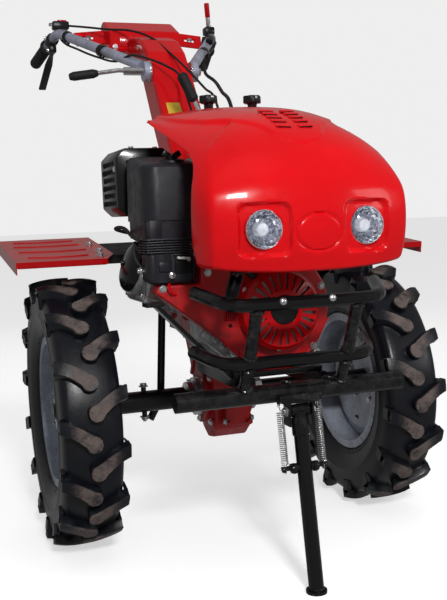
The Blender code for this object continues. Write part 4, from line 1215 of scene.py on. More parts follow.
class TRACTOR_OT_engine(bpy.types.Operator):
    """Details the engine: cooling fins, crankcase bolts, valve cover, plug and lead"""

    bl_idname = "tractor.engine"
    bl_label = "Engine"

    def execute(self, context):
        bm = bmesh.new()
        turn = Matrix.Rotation(CYLINDER_TILT, 4, "Y")
        for count in range(7):
            block(bm, (0.0028, 0.146, 0.132), on_cylinder(0.118 + count * 0.0105, 0.0), 0.001, 0, turn)
        for count in range(5):
            block(bm, (0.050, 0.150 - count * 0.006, 0.0026), on_cylinder(0.2185, -0.052 + count * 0.026),
                  0.0008, 0, turn)
        for y in (-0.058, 0.058):
            for across in (-0.052, 0.052):
                bolt(bm, on_cylinder(0.2420, across) + Vector((0, y, 0)),
                     on_cylinder(1, 0) - on_cylinder(0, 0), 0.013, 1)
        for x, z in ((-0.130, 0.494), (-0.118, 0.470), (-0.102, 0.456), (-0.080, 0.436), (0.100, 0.420),
                     (0.102, 0.470)):
            bar(bm, at(x, -0.296, z), at(x, -0.316, z), 0.0090, 16, 0, rounding=0.002)
            bolt(bm, at(x, -0.316, z), (0, -1, 0), 0.012, 1)
        block(bm, (0.070, 0.018, 0.050), at(-0.108, -0.304, 0.468), 0.005, 0, Matrix.Rotation(0.72, 4, "Y"))
        drain = at(-0.070, -0.180, 0.432)
        bar(bm, drain, drain + Vector((-0.050, 0, 0)), 0.010, 16, 0)
        bolt(bm, drain + Vector((-0.050, 0, 0)), (-1, 0, 0), 0.015, 1)
        piece("engine_castings", bm, "chassis", ["aluminium", "zinc"])
        self.valve_cover()
        self.plug_lead()
        return {"FINISHED"}

    def valve_cover(self):
        out = on_cylinder(1.0, 0.0) - on_cylinder(0.0, 0.0)
        seat = on_cylinder(0.2420, 0.0)
        bm = bmesh.new()
        lathe(bm, [(0.0, -0.004), (0.0525, -0.004), (0.0530, 0.0), (0.0528, 0.0200), (0.0500, 0.0235),
                   (0.0, 0.0235)],
              seat, out, 56, 1)
        lathe(bm, [(0.0535, 0.0170), (0.0538, 0.0200), (0.0515, 0.0270), (0.0470, 0.0330), (0.0380, 0.0385),
                   (0.0220, 0.0425), (0.0080, 0.0440), (0.0, 0.0441), (0.0, 0.0160), (0.0535, 0.0170)],
              seat, out, 56, 0)
        bolt(bm, seat + out * 0.0435, out, 0.009, 0, washer=False)
        piece("domed_valve_cover", bm, "chassis", ["sheet_black", "aluminium"], 40.0,
              ["valve_cover"])

    def plug_lead(self):
        """The spark plug's black cap and the lead that loops back under the covers."""
        bm = bmesh.new()
        plug = on_cylinder(0.250, 0.035) + Vector((0.0, -0.058, 0.0))
        tip = plug + Vector((-0.014, -0.026, 0.020))
        bar(bm, plug, tip, 0.0085, 20, 0, rounding=0.002)
        lead = [tip, at(-0.262, -0.300, 0.668), at(-0.276, -0.255, 0.690), at(-0.281, -0.200, 0.690),
                at(-0.262, -0.165, 0.684), at(-0.215, -0.150, 0.672), at(-0.140, -0.150, 0.640)]
        pipe(bm, lead, 0.0036, 12, smooth=True)
        ring = [at(-0.262, -0.282, 0.664), at(-0.268, -0.292, 0.640), at(-0.258, -0.300, 0.616),
                at(-0.236, -0.302, 0.598)]
        pipe(bm, ring, 0.0030, 10, smooth=True)
        piece("spark_lead", bm, "chassis", ["soft_rubber"])


# Radius and height of a punched hole drawn as a near-black disc with a lip: painted shade for the hole's
# inside.
PUNCHED_HOLE = ((0.0, 0.0004), (0.0040, 0.0004), (0.0046, 0.0012), (0.0056, 0.0008), (0.0062, -0.0004))


class TRACTOR_OT_covers(bpy.types.Operator):
    """Moulds the engine's black covers: air cleaner, ribbed intake cover with choke, and silencer guard"""

    bl_idname = "tractor.covers"
    bl_label = "Engine covers"

    def execute(self, context):
        self.air_cleaner()
        self.intake()
        self.silencer()
        self.tank()
        return {"FINISHED"}

    def air_cleaner(self):
        low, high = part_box("air_cleaner")
        top = high.z - 0.0160
        size = high - low
        middle = (low + high) / 2
        seam = low.z + 0.036
        bm = bmesh.new()
        part = upright_box((size.x, size.y, top - seam), 0.030)
        brim = [e for e in part.edges if min(e.verts[0].co.z, e.verts[1].co.z) > (top - seam) / 2 - 1e-5]
        soften(part, 0.014, 5, brim)
        for vertex in part.verts:
            if vertex.co.z > 0:
                ahead = 0.5 - vertex.co.y / size.y
                vertex.co.z -= (0.006 + 0.026 * ahead) * min(1.0, 2 * vertex.co.z / (top - seam))
            share = 0.5 - vertex.co.z / (top - seam)
            vertex.co.x *= 0.955 + 0.045 * share**0.7
            vertex.co.y *= 0.960 + 0.040 * share**0.7
        join(bm, part, 0, Matrix.Translation((middle.x, middle.y, (top + seam) / 2)))
        join(bm, upright_box((size.x, size.y, 0.0030), 0.030), 0,
             Matrix.Translation((middle.x, middle.y, seam - 0.0012)))
        depth = seam - low.z
        join(bm, upright_box((size.x - 0.006, size.y - 0.006, depth), 0.027), 0,
             Matrix.Translation((middle.x, middle.y, low.z + depth / 2 - 0.001)))
        block(bm, (0.026, 0.020, 0.050), Vector((low.x + 0.017, low.y + 0.002, low.z + 0.010)), 0.004, 0)
        pan = Vector((middle.x + 0.012, middle.y - 0.030, top - 0.0232))
        rise = Vector((0.0, -0.16, 1.0))
        lathe(bm, [(0.0, 0.001), (0.016, 0.001), (0.020, 0.0035), (0.024, 0.0035), (0.027, -0.003)], pan,
              rise, 36, 0)
        lathe(bm, [(0.0, 0.013), (0.006, 0.013), (0.0075, 0.010), (0.0075, 0.001), (0.0, 0.001)], pan, rise,
              20, 1)
        for side in (-1.0, 1.0):
            block(bm, (0.015, 0.0040, 0.012), pan + Vector((side * 0.0110, -0.002, 0.0125)), 0.0018, 1,
                  Matrix.Rotation(-side * 0.5, 4, "Y"))
        piece("air_cleaner_cover", bm, "chassis", ["cover_plastic", "knob_plastic"], 35.0,
              ["air_cleaner"])

    def intake(self):
        """The stepped cover below the air cleaner, its fins, choke opening (a near-black plate, painted shade
        for the opening), lever and screw.
        """
        low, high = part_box("carburettor_cover")
        middle = (low + high) / 2
        bm = bmesh.new()
        front = low.y + 0.0075

        def place(x, y, z):
            """A point measured from the middle of the cover's lower front edge."""
            return Vector((middle.x + x, front + y, low.z + z))

        block(bm, (0.086, 0.062, 0.060), place(-0.001, 0.034, 0.031), 0.010, 0, segments=4)
        lathe(bm, [(0.0, 0.052), (0.024, 0.052), (0.0255, 0.050), (0.0255, 0.0), (0.0, 0.0)],
              place(-0.017, 0.022, 0.004), (0, 0, 1), 40, 0)
        for count in range(6):
            block(bm, (0.094, 0.068, 0.0032),
                  Vector((middle.x, front + 0.036, low.z + 0.060 + count * 0.0048)),
                  0.0012, 0)
        block(bm, (0.080, 0.056, 0.030), place(0.0, 0.036, 0.072), 0.003, 0)
        # The choke opening is a near-black plate: painted shade for the opening.
        block(bm, (0.036, 0.004, 0.034), place(0.024, 0.0022, 0.036), 0.003, 2)
        block(bm, (0.040, 0.003, 0.0022), place(0.023, -0.0002, 0.0545), 0.0008, 0)
        block(bm, (0.0022, 0.003, 0.036), place(0.0425, -0.0002, 0.037), 0.0008, 0)
        block(bm, (0.026, 0.009, 0.0050), place(0.022, -0.0030, 0.048), 0.0018, 1,
              Matrix.Rotation(0.08, 4, "Y"))
        bar(bm, place(0.032, 0.004, 0.044), place(0.032, -0.004, 0.044),
            0.0032, 14, 3)
        screw = place(-0.0015, -0.0012, 0.0165)
        lathe(bm, [(0.0, 0.0042), (0.0035, 0.0040), (0.0062, 0.0024), (0.0066, 0.0), (0.0, 0.0)], screw,
              (0, -1, 0), 24, 3)
        block(bm, (0.0095, 0.0012, 0.0015), screw + Vector((0.0, -0.0040, 0.0)), 0.0003, 2,
              Matrix.Rotation(0.6, 4, "Y"))
        idle = Vector((low.x + 0.002, front + 0.022, low.z + 0.027))
        coil = [idle + Vector((-0.0004 * k, 0.0030 * math.cos(k * 0.9),
                               0.0030 * math.sin(k * 0.9))) for k in range(24)]
        pipe(bm, coil, 0.0007, 6, finish=3)
        bolt(bm, idle + Vector((-0.0095, 0.0, 0.0)), (-1, 0, 0), 0.009, 3)
        block(bm, (0.020, 0.004, 0.018), place(-0.017, -0.0050, 0.033), 0.0018, 0)
        pipe(bm, [place(-0.004, 0.010, 0.006), place(-0.006, 0.004, -0.012),
                  place(0.010, 0.014, -0.024)], 0.0032, 10, smooth=True, finish=4)
        piece("intake_cover", bm, "chassis",
              ["cover_plastic", "white_label", "dark_hole", "zinc", "panel_red"],
              35.0, ["carburettor_cover"])

    def silencer(self):
        """The black heat guard with its punched side (near-black discs, painted shade for the holes), top
        screws and stub.
        """
        end_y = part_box("muffler")[1].y
        bm = bmesh.new()
        guard_low, guard_high = at(-0.262, -0.150, 0.714), at(-0.142, 0.0, 0.854)
        size, middle = guard_high - guard_low, (guard_low + guard_high) / 2
        part = bmesh.new()
        bmesh.ops.create_cube(part, size=1.0)
        bmesh.ops.scale(part, vec=size, verts=part.verts)
        long_edges = [e for e in part.edges if abs(e.verts[0].co.y - e.verts[1].co.y) > 0.01]
        soften(part, 0.018, 1, long_edges)
        soften(part, 0.0035, 2)
        join(bm, part, 0, Matrix.Translation(middle))
        for row in range(6):
            for column in range(7):
                y = guard_low.y + 0.020 + column * 0.018 + (0.009 if row % 2 else 0.0)
                if y > guard_high.y - 0.014:
                    continue
                centre = Vector((guard_low.x, y, guard_low.z + 0.028 + row * 0.0165))
                # Each punched hole is a near-black disc with a lip: painted shade for the hole.
                lathe(bm, PUNCHED_HOLE, centre, (-1, 0, 0), 10, 1)
                if column < 5:
                    front = Vector((guard_low.x + 0.026 + column * 0.0165, guard_low.y, centre.z))
                    lathe(bm, PUNCHED_HOLE, front, (0, -1, 0), 10, 1)
        for x, y in ((-0.222, -0.120), (-0.166, -0.105), (-0.222, -0.028), (-0.166, -0.028)):
            bolt(bm, at(x, y, guard_high.z), (0, 0, 1), 0.010, 2)
        block(bm, (0.060, 0.050, 0.0030), at(-0.196, -0.072, guard_high.z + 0.0008), 0.0012, 0)
        bolt(bm, at(-0.258, -0.132, 0.812), (-1, -1, 0.2), 0.011, 2)
        bar(bm, at(-0.202, -0.004, 0.752), Vector((-0.202, end_y - 0.0005, 0.752)), 0.0140, 28, 0)
        lathe(bm, [(0.0118, 0.0), (0.0140, 0.0), (0.0140, -0.010), (0.0, -0.012), (0.0, -0.010),
                   (0.0118, -0.008)],
              Vector((-0.202, end_y, 0.752)), (0, 1, 0), 28, 0)
        block(bm, (0.020, 0.020, 0.076), at(-0.186, -0.146, 0.7013), 0.003, 0)
        block(bm, (0.042, 0.030, 0.006), at(-0.186, -0.146, 0.668), 0.0015, 0)
        piece("silencer_guard", bm, "chassis", ["sheet_black", "dark_hole", "zinc"], 35.0,
              ["muffler"])

    def tank(self):
        """The fuel tank's seam, filler cap and tap."""
        bm = bmesh.new()
        block(bm, (0.258, 0.258, 0.0040), at(0.020, -0.220, 0.778), 0.0018, 0)
        cap = at(0.060, -0.300, 0.8600)
        lathe(bm, [(0.0, 0.013), (0.020, 0.013), (0.0300, 0.010), (0.0325, 0.006), (0.0325, 0.0), (0.0, 0.0)],
              cap,
              (0, 0, 1), 40, 0)
        for x, y in spokes(20):
            bar(bm, cap + Vector((0.0325 * x, 0.0325 * y, 0.0008)),
                cap + Vector((0.0322 * x, 0.0322 * y, 0.0085)), 0.0016, 6, 0)
        tap = at(-0.050, -0.318, 0.7180)
        lathe(bm, [(0.0, 0.016), (0.008, 0.016), (0.009, 0.012), (0.009, 0.0), (0.0, 0.0)], tap, (0, 0, -1),
              18, 1)
        pipe(bm, [tap + Vector((0, 0, -0.014)), tap + Vector((-0.010, 0.0, -0.040)),
                  tap + Vector((-0.060, 0.010, -0.052)),
                  tap + Vector((-0.108, 0.020, -0.056))], 0.0034, 10, smooth=True, finish=1)
        piece("tank_fittings", bm, "chassis", ["sheet_black", "soft_rubber"])


# ---------------------------------------------------------------- gearbox, guard and stand


class TRACTOR_OT_gearbox(bpy.types.Operator):
    """Adds the casting's covers, ribs, bolts and the collars' rings"""

    bl_idname = "tractor.gearbox"
    bl_label = "Gearbox details"

    def execute(self, context):
        case_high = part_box("gearbox_case")[1]
        collar_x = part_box("right_axle_collar")[1].x
        bm = bmesh.new()
        for outward in (-1.0, 1.0):
            side = Vector((outward, 0.0, 0.0))
            face = at(outward * case_high.x, 0.060, 0.520)
            lathe(bm, [(0.0, 0.008), (0.040, 0.008), (0.044, 0.006), (0.052, 0.006), (0.055, 0.004),
                       (0.055, -0.002),
                       (0.0, -0.002)], face, side, 44, 0)
            for y, z in spokes(6, 0.2):
                bolt(bm, face + side * 0.0055 + Vector((0, y, z)) * 0.048, side, 0.011, 1)
            leg_x = outward * 0.0455
            for y, z, length, lean in ((-0.020, 0.400, 0.110, 0.15), (0.055, 0.385, 0.130, 0.55),
                                       (0.022, 0.345, 0.060, 0.2)):
                block(bm, (0.010, 0.010, length), at(leg_x, y, z), 0.003, 0, Matrix.Rotation(lean, 4, "X"))
            for y, z in ((-0.056, 0.340), (-0.056, 0.240), (0.030, 0.232), (0.060, 0.300), (0.120, 0.420),
                         (0.132, 0.560)):
                bar(bm, at(leg_x - outward * 0.006, y, z), at(leg_x + outward * 0.004, y, z), 0.0095, 16, 0,
                    rounding=0.002)
                bolt(bm, at(leg_x + outward * 0.0035, y, z), side, 0.010, 1)
            collar = at(outward * abs(collar_x), 0.0, AXLE.z)
            for y, z in spokes(5, 0.9):
                bolt(bm, collar + Vector((0, y, z)) * 0.0495, side, 0.0085, 1, washer=False)
        for x, z in spokes(8, 0.35):
            seat = at(0.0, -0.0620, CRANK.z) + Vector((x, 0.0, z)) * 0.104
            bar(bm, seat, seat + Vector((0, 0.020, 0)), 0.0090, 14, 0, rounding=0.002)
            bolt(bm, seat + Vector((0.0, 0.020, 0.0)), (0, 1, 0), 0.011, 1)
        cap_low, cap_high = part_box("gearbox_cap")
        for z in (cap_low.z + 0.012, cap_high.z - 0.012):
            bolt(bm, Vector((cap_high.x - 0.001, cap_low.y + 0.017, z)), (1, 0, 0), 0.011, 1)
            bolt(bm, Vector((cap_low.x + 0.001, cap_low.y + 0.017, z)), (-1, 0, 0), 0.011, 1)
        bolt(bm, at(0.040, 0.040, case_high.z), (0, 0, 1), 0.018, 1)
        piece("gearbox_details", bm, "chassis", ["casting_red", "zinc"])
        bm = bmesh.new()
        for outward in (-1.0, 1.0):
            start = Vector((outward * abs(collar_x), AXLE.y, AXLE.z))
            for step in (0.004, 0.009, 0.014):
                lathe(bm, [(0.0425, 0.0), (0.0440, 0.0006), (0.0440, 0.0022), (0.0425, 0.0028)],
                      start + Vector((outward * step, 0, 0)), (outward, 0, 0), 40, 0)
            bolt(bm, start + Vector((outward * 0.0265, 0.0, 0.0352)), (0, 0, 1), 0.009, 0, washer=False)
        piece("collar_rings", bm, "chassis", ["zinc"])
        return {"FINISHED"}


class TRACTOR_OT_guard(bpy.types.Operator):
    """Welds and bolts up the front guard: beads, end caps, bolts and the hood's stay"""

    bl_idname = "tractor.guard"
    bl_label = "Front guard"

    def execute(self, context):
        bm = bmesh.new()
        upper = at(0.0, -0.503, 0.547)
        lower = at(0.0, -0.450, 0.434)
        cross = middle_of("guard_crossbar")
        tube = 0.0125
        cross_low, cross_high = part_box("guard_crossbar")
        cross_radius = (cross_high.z - cross_low.z) / 2
        for outward in (-1.0, 1.0):
            x = Vector((outward * 0.100, 0.0, 0.0))
            run = (lower - upper).normalized()
            weld_bead(bm, upper + x + run * (tube + 0.0008), run, tube * 0.90)
            weld_bead(bm, lower + x - run * (tube + 0.0008), run, tube * 0.90)
            drop = (cross - lower).normalized()
            weld_bead(bm, lower + x + drop * (tube + 0.0008), drop, tube * 0.90)
            weld_bead(bm, cross + x - drop * (cross_radius + 0.0002), drop, tube * 0.92)
            seat = upper + Vector((-0.0075 + outward * 0.0485, -tube + 0.0010, 0.0045))
            lathe(bm, [(0.0, 0.0062), (0.0040, 0.0058), (0.0066, 0.0036), (0.0072, 0.0), (0.0, 0.0)], seat,
                  (0, -1, 0.15), 24, 1)
            end = cross + Vector((outward * cross_high.x, 0.0, 0.0))
            lathe(bm, [(0.0, -0.004), (cross_radius - 0.0040, -0.004), (cross_radius - 0.0040, -0.0002),
                       (cross_radius - 0.0004, -0.0002), (cross_radius - 0.0004, -0.008), (0.0, -0.008)],
                  end, (outward, 0, 0), 32, 2)
        for x, length in ((0.080, 0.024), (-0.010, 0.018)):
            weld_bead(bm, cross + Vector((x, 0.004, 0.0165)), (0.4, 0.3, 1.0), length / 2, 0, 0.0036)
        stay_low, stay_high = at(-0.146, -0.4920, 0.5605), at(-0.122, -0.462, 0.600)
        run = stay_high - stay_low
        for shift in (-0.0085, 0.0085):
            block(bm, (0.0030, 0.0150, run.length), (stay_low + stay_high) / 2 + Vector((shift, 0.0, 0.0)),
                  0.001, 0,
                  along((0, 0, 0), run))
        block(bm, (0.0200, 0.0028, run.length), (stay_low + stay_high) / 2 + Vector((0.0, -0.0065, 0.0)),
              0.001, 0,
              along((0, 0, 0), run))
        bolt(bm, stay_high + Vector((0.0, -0.004, -0.004)), (0.2, -1, 0.3), 0.010, 1)
        block(bm, (0.032, 0.028, 0.004), at(-0.118, -0.470, 0.6050), 0.0012, 0)
        piece("guard_fittings", bm, "chassis", ["tube_black", "zinc", "dark_steel"])
        return {"FINISHED"}


SPRING_WIRE = 0.00105


class TRACTOR_OT_stand(bpy.types.Operator):
    """Winds the stand's two springs and adds its pivot bolt, pin ends and tabs"""

    bl_idname = "tractor.stand"
    bl_label = "Stand springs"

    def execute(self, context):
        turns = context.scene.tractor_sizes.spring_turns
        for side, outward in SIDES:
            node = f"{side}_stand_spring"
            low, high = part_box(node)
            middle = (low + high) / 2
            radius = (high.x - low.x) / 2 - 0.0009
            top = Vector((middle.x, high.y - radius - 0.001, high.z - 0.003))
            bottom = Vector((middle.x, low.y + radius + 0.001, low.z + 0.002))
            run = bottom - top
            sideways = Vector((1.0, 0.0, 0.0))
            facing = run.normalized().cross(sideways).normalized()
            steps = turns * 12
            coil = []
            for step in range(steps + 1):
                angle = math.tau * turns * step / steps
                arm = sideways * math.cos(angle) + facing * math.sin(angle)
                coil.append(top + run * step / steps + arm * radius)
            bm = bmesh.new()
            pipe(bm, coil, SPRING_WIRE, 8)
            hook = ((0.004, 0.0), (0.0100, 0.0), (0.0148, 0.005), (0.0105, 0.009), (0.006, 0.008))
            pipe(bm, [top + sideways * radius] + [top + Vector((0.0, y, z)) for z, y in hook],
                 SPRING_WIRE, 8, smooth=True)
            hook = ((-0.003, 0.0), (-0.0065, -0.0045), (-0.0125, -0.004), (-0.0145, 0.0012),
                    (-0.0105, 0.0050))
            pipe(bm, [bottom + sideways * radius] + [bottom + Vector((0.0, y, z)) for z, y in hook],
                 SPRING_WIRE, 8, smooth=True)
            piece(f"{side}_coil_spring", bm, "stand", ["zinc"], 60.0, [node])
        low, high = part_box("stand_leg")
        bm = bmesh.new()
        spring_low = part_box("right_stand_spring")[0]
        pin_y, pin_z = spring_low.y + 0.0062, spring_low.z - 0.0051
        for outward in (-1.0, 1.0):
            tip = Vector((outward * high.x, pin_y, pin_z))
            lathe(bm, [(0.0, 0.0025), (0.0052, 0.0020), (0.0060, 0.0), (0.0060, -0.0040), (0.0, -0.0040)],
                  tip - Vector((outward * 0.0026, 0, 0)), (outward, 0, 0), 18, 0)
            lathe(bm, [(0.0060, 0.0), (0.0096, 0.0010), (0.0104, 0.0060), (0.0085, 0.0110), (0.0060, 0.0115)],
                  Vector((outward * 0.0165, pin_y, pin_z)), (outward, 0, 0), 24, 0)
        down = (Vector((0.0, low.y + 0.02, 0.0)) - Vector((0.0, high.y - 0.012, 0.336))).normalized()
        foot = Vector((0.0, AXLE.y - 0.497, 0.0065))
        weld_bead(bm, foot, down, 0.0146, 0, 0.0026)
        collar = Vector((0.0, AXLE.y - 0.442, 0.336)) + down * 0.046
        weld_bead(bm, collar, down, 0.0152, 0, 0.0022)
        piece("stand_fittings", bm, "stand", ["tube_black"])
        bm = bmesh.new()
        pivot = at(0.0, -0.442, 0.336)
        for outward in (-1.0, 1.0):
            bolt(bm, pivot + Vector((outward * 0.0260, 0, 0)), (outward, 0, 0), 0.013, 0)
        block(bm, (0.086, 0.0055, 0.012), at(0.0, -0.4515, 0.3605), 0.0015, 1)
        for x in (-0.036, 0.036):
            weld_bead(bm, at(x, -0.430, 0.3520), (1, 0, 0), 0.0042, 1, 0.0028)
        piece("stand_bracket_fittings", bm, "chassis", ["zinc", "tube_black"])
        return {"FINISHED"}


# ---------------------------------------------------------------- fenders


class TRACTOR_OT_fenders(bpy.types.Operator):
    """Adds the fenders' pressed ribs, bolts and rolled edges"""

    bl_idname = "tractor.fenders"
    bl_label = "Fender details"

    def execute(self, context):
        slope = Matrix.Translation(at(0.0, -0.120, 0.6275)) @ Matrix.Rotation(math.radians(6.0), 4, "X")
        for side, outward in SIDES:
            low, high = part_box(f"{side}_fender")
            outer = max(abs(low.x), abs(high.x))
            bm = bmesh.new()
            for y, start, end in ((0.060, 0.312, 0.440), (0.150, 0.300, 0.448), (0.240, 0.300, 0.448),
                                  (0.315, 0.300, 0.440)):
                points = []
                for step in range(9):
                    share = step / 8
                    x = start + (end - start) * share
                    points.append(slope @ Vector((outward * x, y - 0.010 * math.sin(share * math.pi),
                                                  0.0006)))
                pipe(bm, points, 0.0028, 10, smooth=True)
            rolled = [slope @ Vector((outward * x, 0.0020, -0.0110)) for x in (0.285, outer - 0.004)]
            pipe(bm, rolled, 0.0016, 8)
            for x, y in ((0.288, 0.046), (0.276, 0.115), (0.276, 0.230)):
                bolt(bm, slope @ Vector((outward * x, y, 0.0012)), (slope.to_3x3() @ Vector((0, 0, 1))),
                     0.013, 1)
            for x, y in ((0.150, 0.078), (0.150, 0.230)):
                bolt(bm, slope @ Vector((outward * x, y, -0.0010)), (slope.to_3x3() @ Vector((0, 0, 1))),
                     0.012, 1)
            piece(f"{side}_fender_details", bm, "chassis", ["fender_red", "zinc"])
        return {"FINISHED"}


# ---------------------------------------------------------------- handlebars and controls

BAR_TUBE = 0.0135
TILT_AXIS = at(0.0, 0.318, 1.086)


def bar_line(outward):
    """Start, corner and end of one handle's tube."""
    return (at(outward * 0.0798, 0.338, 1.104), at(outward * 0.232, 0.640, 1.243),
            at(outward * 0.268, 0.845, 1.190))


class TRACTOR_OT_handlebars(bpy.types.Operator):
    """Dresses the handles: ribbed grips, clamps, switch, hand levers, bands and toothed clamp discs"""

    bl_idname = "tractor.handlebars"
    bl_label = "Handlebars"

    def execute(self, context):
        for side, outward in SIDES:
            self.grip(side, outward)
            self.fittings(side, outward)
        self.levers()
        return {"FINISHED"}

    def grip(self, side, outward):
        _, corner, end = bar_line(outward)
        run = (end - corner).normalized()
        outer, length = BAR_TUBE + 0.0035, 0.128
        profile = [(0.0, 0.0058), (0.0110, 0.0050), (outer - 0.001, 0.0005), (outer, -0.003)]
        for rib in range(15):
            base = -0.010 - rib * 0.0070
            profile += [(outer, base), (outer - 0.0016, base - 0.0010), (outer - 0.0016, base - 0.0028),
                        (outer, base - 0.0038)]
        profile += [(outer + 0.004, 0.010 - length), (outer + 0.004, 0.004 - length),
                    (BAR_TUBE, 0.004 - length)]
        bm = bmesh.new()
        lathe(bm, profile, end, run, 36, 0)
        piece(f"{side}_ribbed_grip", bm, "handlebars", ["soft_rubber"], 40.0, [f"{side}_grip"])

    def fittings(self, side, outward):
        start, corner, end = bar_line(outward)
        run = (corner - start).normalized()
        bm = bmesh.new()
        for share, width in ((0.42, 0.016), (0.86, 0.011)):
            place = start.lerp(corner, share)
            lathe(bm, [(BAR_TUBE, -width / 2), (BAR_TUBE + 0.0026, -width / 2), (BAR_TUBE + 0.0030, 0.0),
                       (BAR_TUBE + 0.0026, width / 2), (BAR_TUBE, width / 2)], place, run, 28, 0)
            block(bm, (0.008, 0.008, 0.010), place + Vector((0.0, -0.006, -BAR_TUBE - 0.003)), 0.002, 0)
        hub = Vector((outward * abs(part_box("right_handlebar")[1].x), TILT_AXIS.y, TILT_AXIS.z))
        for count in range(30):
            angle = math.tau * count / 30
            arm = Vector((0.0, math.cos(angle), math.sin(angle)))
            tooth = hub + Vector((outward * 0.0022, 0, 0)) + arm * 0.0252
            block(bm, (0.0052, 0.0026, 0.0034), tooth, 0.0004, 1, Matrix.Rotation(angle, 4, "X"))
        grip_run = (end - corner).normalized()
        if outward < 0:
            seat = corner + Vector((0.004, 0.012, 0.0))
            block(bm, (0.046, 0.030, 0.022), seat + Vector((0.008, 0.0, BAR_TUBE + 0.0085)), 0.0035, 0)
            block(bm, (0.026, 0.014, 0.007), seat + Vector((0.012, -0.002, BAR_TUBE + 0.0205)), 0.0025, 2)
            bolt(bm, seat + Vector((-0.020, -0.004, BAR_TUBE + 0.010)), (-0.6, -0.5, 0.4), 0.008, 1)
        else:
            seat = corner + Vector((-0.004, 0.006, 0.0))
            block(bm, (0.030, 0.034, 0.024), seat + Vector((-0.004, 0.0, BAR_TUBE + 0.004)), 0.005, 0)
            block(bm, (0.020, 0.050, 0.018),
                  start.lerp(corner, 0.66) + Vector((0.010, 0.0, BAR_TUBE + 0.004)), 0.004, 0,
                  run.to_track_quat("Y", "Z").to_matrix().to_4x4())
        clamp = corner + grip_run * 0.052
        lathe(bm, [(BAR_TUBE, -0.013), (BAR_TUBE + 0.0045, -0.012), (BAR_TUBE + 0.0048, 0.0),
                   (BAR_TUBE + 0.0045, 0.012),
                   (BAR_TUBE, 0.013)], clamp, grip_run, 28, 0)
        bolt(bm, clamp + Vector((outward * (BAR_TUBE + 0.004), 0.0, 0.006)), (outward, 0, 0.3), 0.008, 1)
        piece(f"{side}_handle_fittings", bm, "handlebars", ["knob_plastic", "zinc", "panel_red"])

    def levers(self):
        """The right hand lever's flat blade below its grip, and the left one's red-tipped upright blade."""
        _, corner, end = bar_line(-1.0)
        run = (end - corner).normalized()
        seat = corner + run * 0.052
        bm = bmesh.new()
        block(bm, (0.020, 0.034, 0.022), seat + Vector((0.0, -0.002, -0.0255)), 0.004, 0)
        blade = [seat + Vector((0.0, 0.002, -0.033)), seat + Vector((0.0, 0.045, -0.046)),
                 at(-0.252, 0.8440, 1.1145)]
        path = rounded(blade, 0.03)
        for first, second in zip(path, path[1:]):
            reach = (second - blade[0]).length
            width = 0.012 + 0.010 * smooth_step(0.02, 0.08, reach)
            block(bm, (width, 0.0070, (second - first).length + 0.003), (first + second) / 2, 0.0022, 0,
                  along((0, 0, 0), second - first))
        bolt(bm, seat + Vector((-0.011, 0.004, -0.026)), (-1, 0, 0), 0.009, 1)
        piece("right_brake_lever", bm, "handlebars", ["knob_plastic", "zinc"], 35.0,
              ["right_hand_lever"])
        _, corner, end = bar_line(1.0)
        run = (end - corner).normalized()
        seat = corner + run * 0.052
        tip = at(0.228, 0.668, 1.3500)
        root = seat + Vector((0.0, 0.0, 0.030))
        lean = tip - root
        bm = bmesh.new()
        block(bm, (0.022, 0.034, 0.026), seat + Vector((0.0, 0.0, 0.026)), 0.004, 0)
        turn = along((0, 0, 0), lean)
        block(bm, (0.0130, 0.0070, lean.length * 0.62), root + lean * 0.31, 0.002, 1, turn)
        block(bm, (0.0150, 0.0095, lean.length * 0.46), root + lean * 0.765, 0.0032, 2, turn)
        bolt(bm, seat + Vector((0.012, 0.004, 0.028)), (1, 0, 0), 0.009, 1)
        piece("left_clutch_lever", bm, "handlebars", ["knob_plastic", "zinc", "lever_red"], 35.0,
              ["left_hand_lever"])


class TRACTOR_OT_column(bpy.types.Operator):
    """Adds the column's blank sticker and weld seams, and the console's slotted ears and screws"""

    bl_idname = "tractor.column"
    bl_label = "Column and console"

    def execute(self, context):
        bm = bmesh.new()
        slope = (at(0.0, 0.300, 1.086) - at(0.0, 0.224, 0.979)).normalized()
        out = Vector((0.0, -slope.z, slope.y))
        centre = at(-0.020, 0.2170, 0.9690) + out * 0.0003
        frame_turn = Matrix((Vector((1, 0, 0)), slope, out)).transposed().to_4x4()
        block(bm, (0.036, 0.066, 0.0006), centre, 0.0001, 0, frame_turn, 1)
        piece("blank_sticker", bm, "chassis", ["yellow_label"])
        bm = bmesh.new()
        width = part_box("handlebar_column")[1].x
        for outward in (-1.0, 1.0):
            points = [at(outward * width, y, z) for y, z in
                      ((-0.006, 0.640), (0.112, 0.806), (0.234, 0.980), (0.306, 1.081), (0.350, 1.136),
                       (0.403, 1.175), (0.470, 1.196), (0.540, 1.203))]
            seam = [p + Vector((outward * -0.0006, 0.004, -0.003)) for p in points]
            pipe(bm, seam, 0.0022, 8, smooth=True, finish=0)
            ear = Matrix.Rotation(-0.45, 4, "X") @ Matrix.Rotation(outward * 0.10, 4, "Y")
            middle = at(outward * 0.150, 0.612, 1.2240)
            block(bm, (0.013, 0.0045, 0.0085), middle + Vector((0.0, -0.0010, 0.0)), 0.001, 1, ear)
            bolt(bm, middle + ear.to_3x3() @ Vector((0.0, -0.0022, 0.0)), ear.to_3x3() @ Vector((0, -1, 0)),
                 0.010, 1)
            pipe(bm, [middle + ear.to_3x3() @ Vector((x, -0.0026, z)) for x, z in
                      ((-0.022, 0.0058), (0.022, 0.0058))], 0.0009, 6, finish=0)
            foot = at(outward * (width - 0.001), 0.040, 0.634)
            block(bm, (0.012, 0.110, 0.014), foot, 0.003, 0)
            for y in (0.0, 0.060):
                bolt(bm, at(outward * (width + 0.001), 0.012 + y, 0.641), (0, 0, 1), 0.010, 1)
        block(bm, (0.150, 0.0022, 0.030), at(0.0, 0.5448, 1.2060), 0.0008, 0)
        for x in (-0.088, 0.088):
            bolt(bm, at(x, 0.5450, 1.1900), (0, -1, 0), 0.010, 1)
        piece("column_fittings", bm, "chassis", ["panel_red", "zinc"])
        return {"FINISHED"}


# ---------------------------------------------------------------- control cables

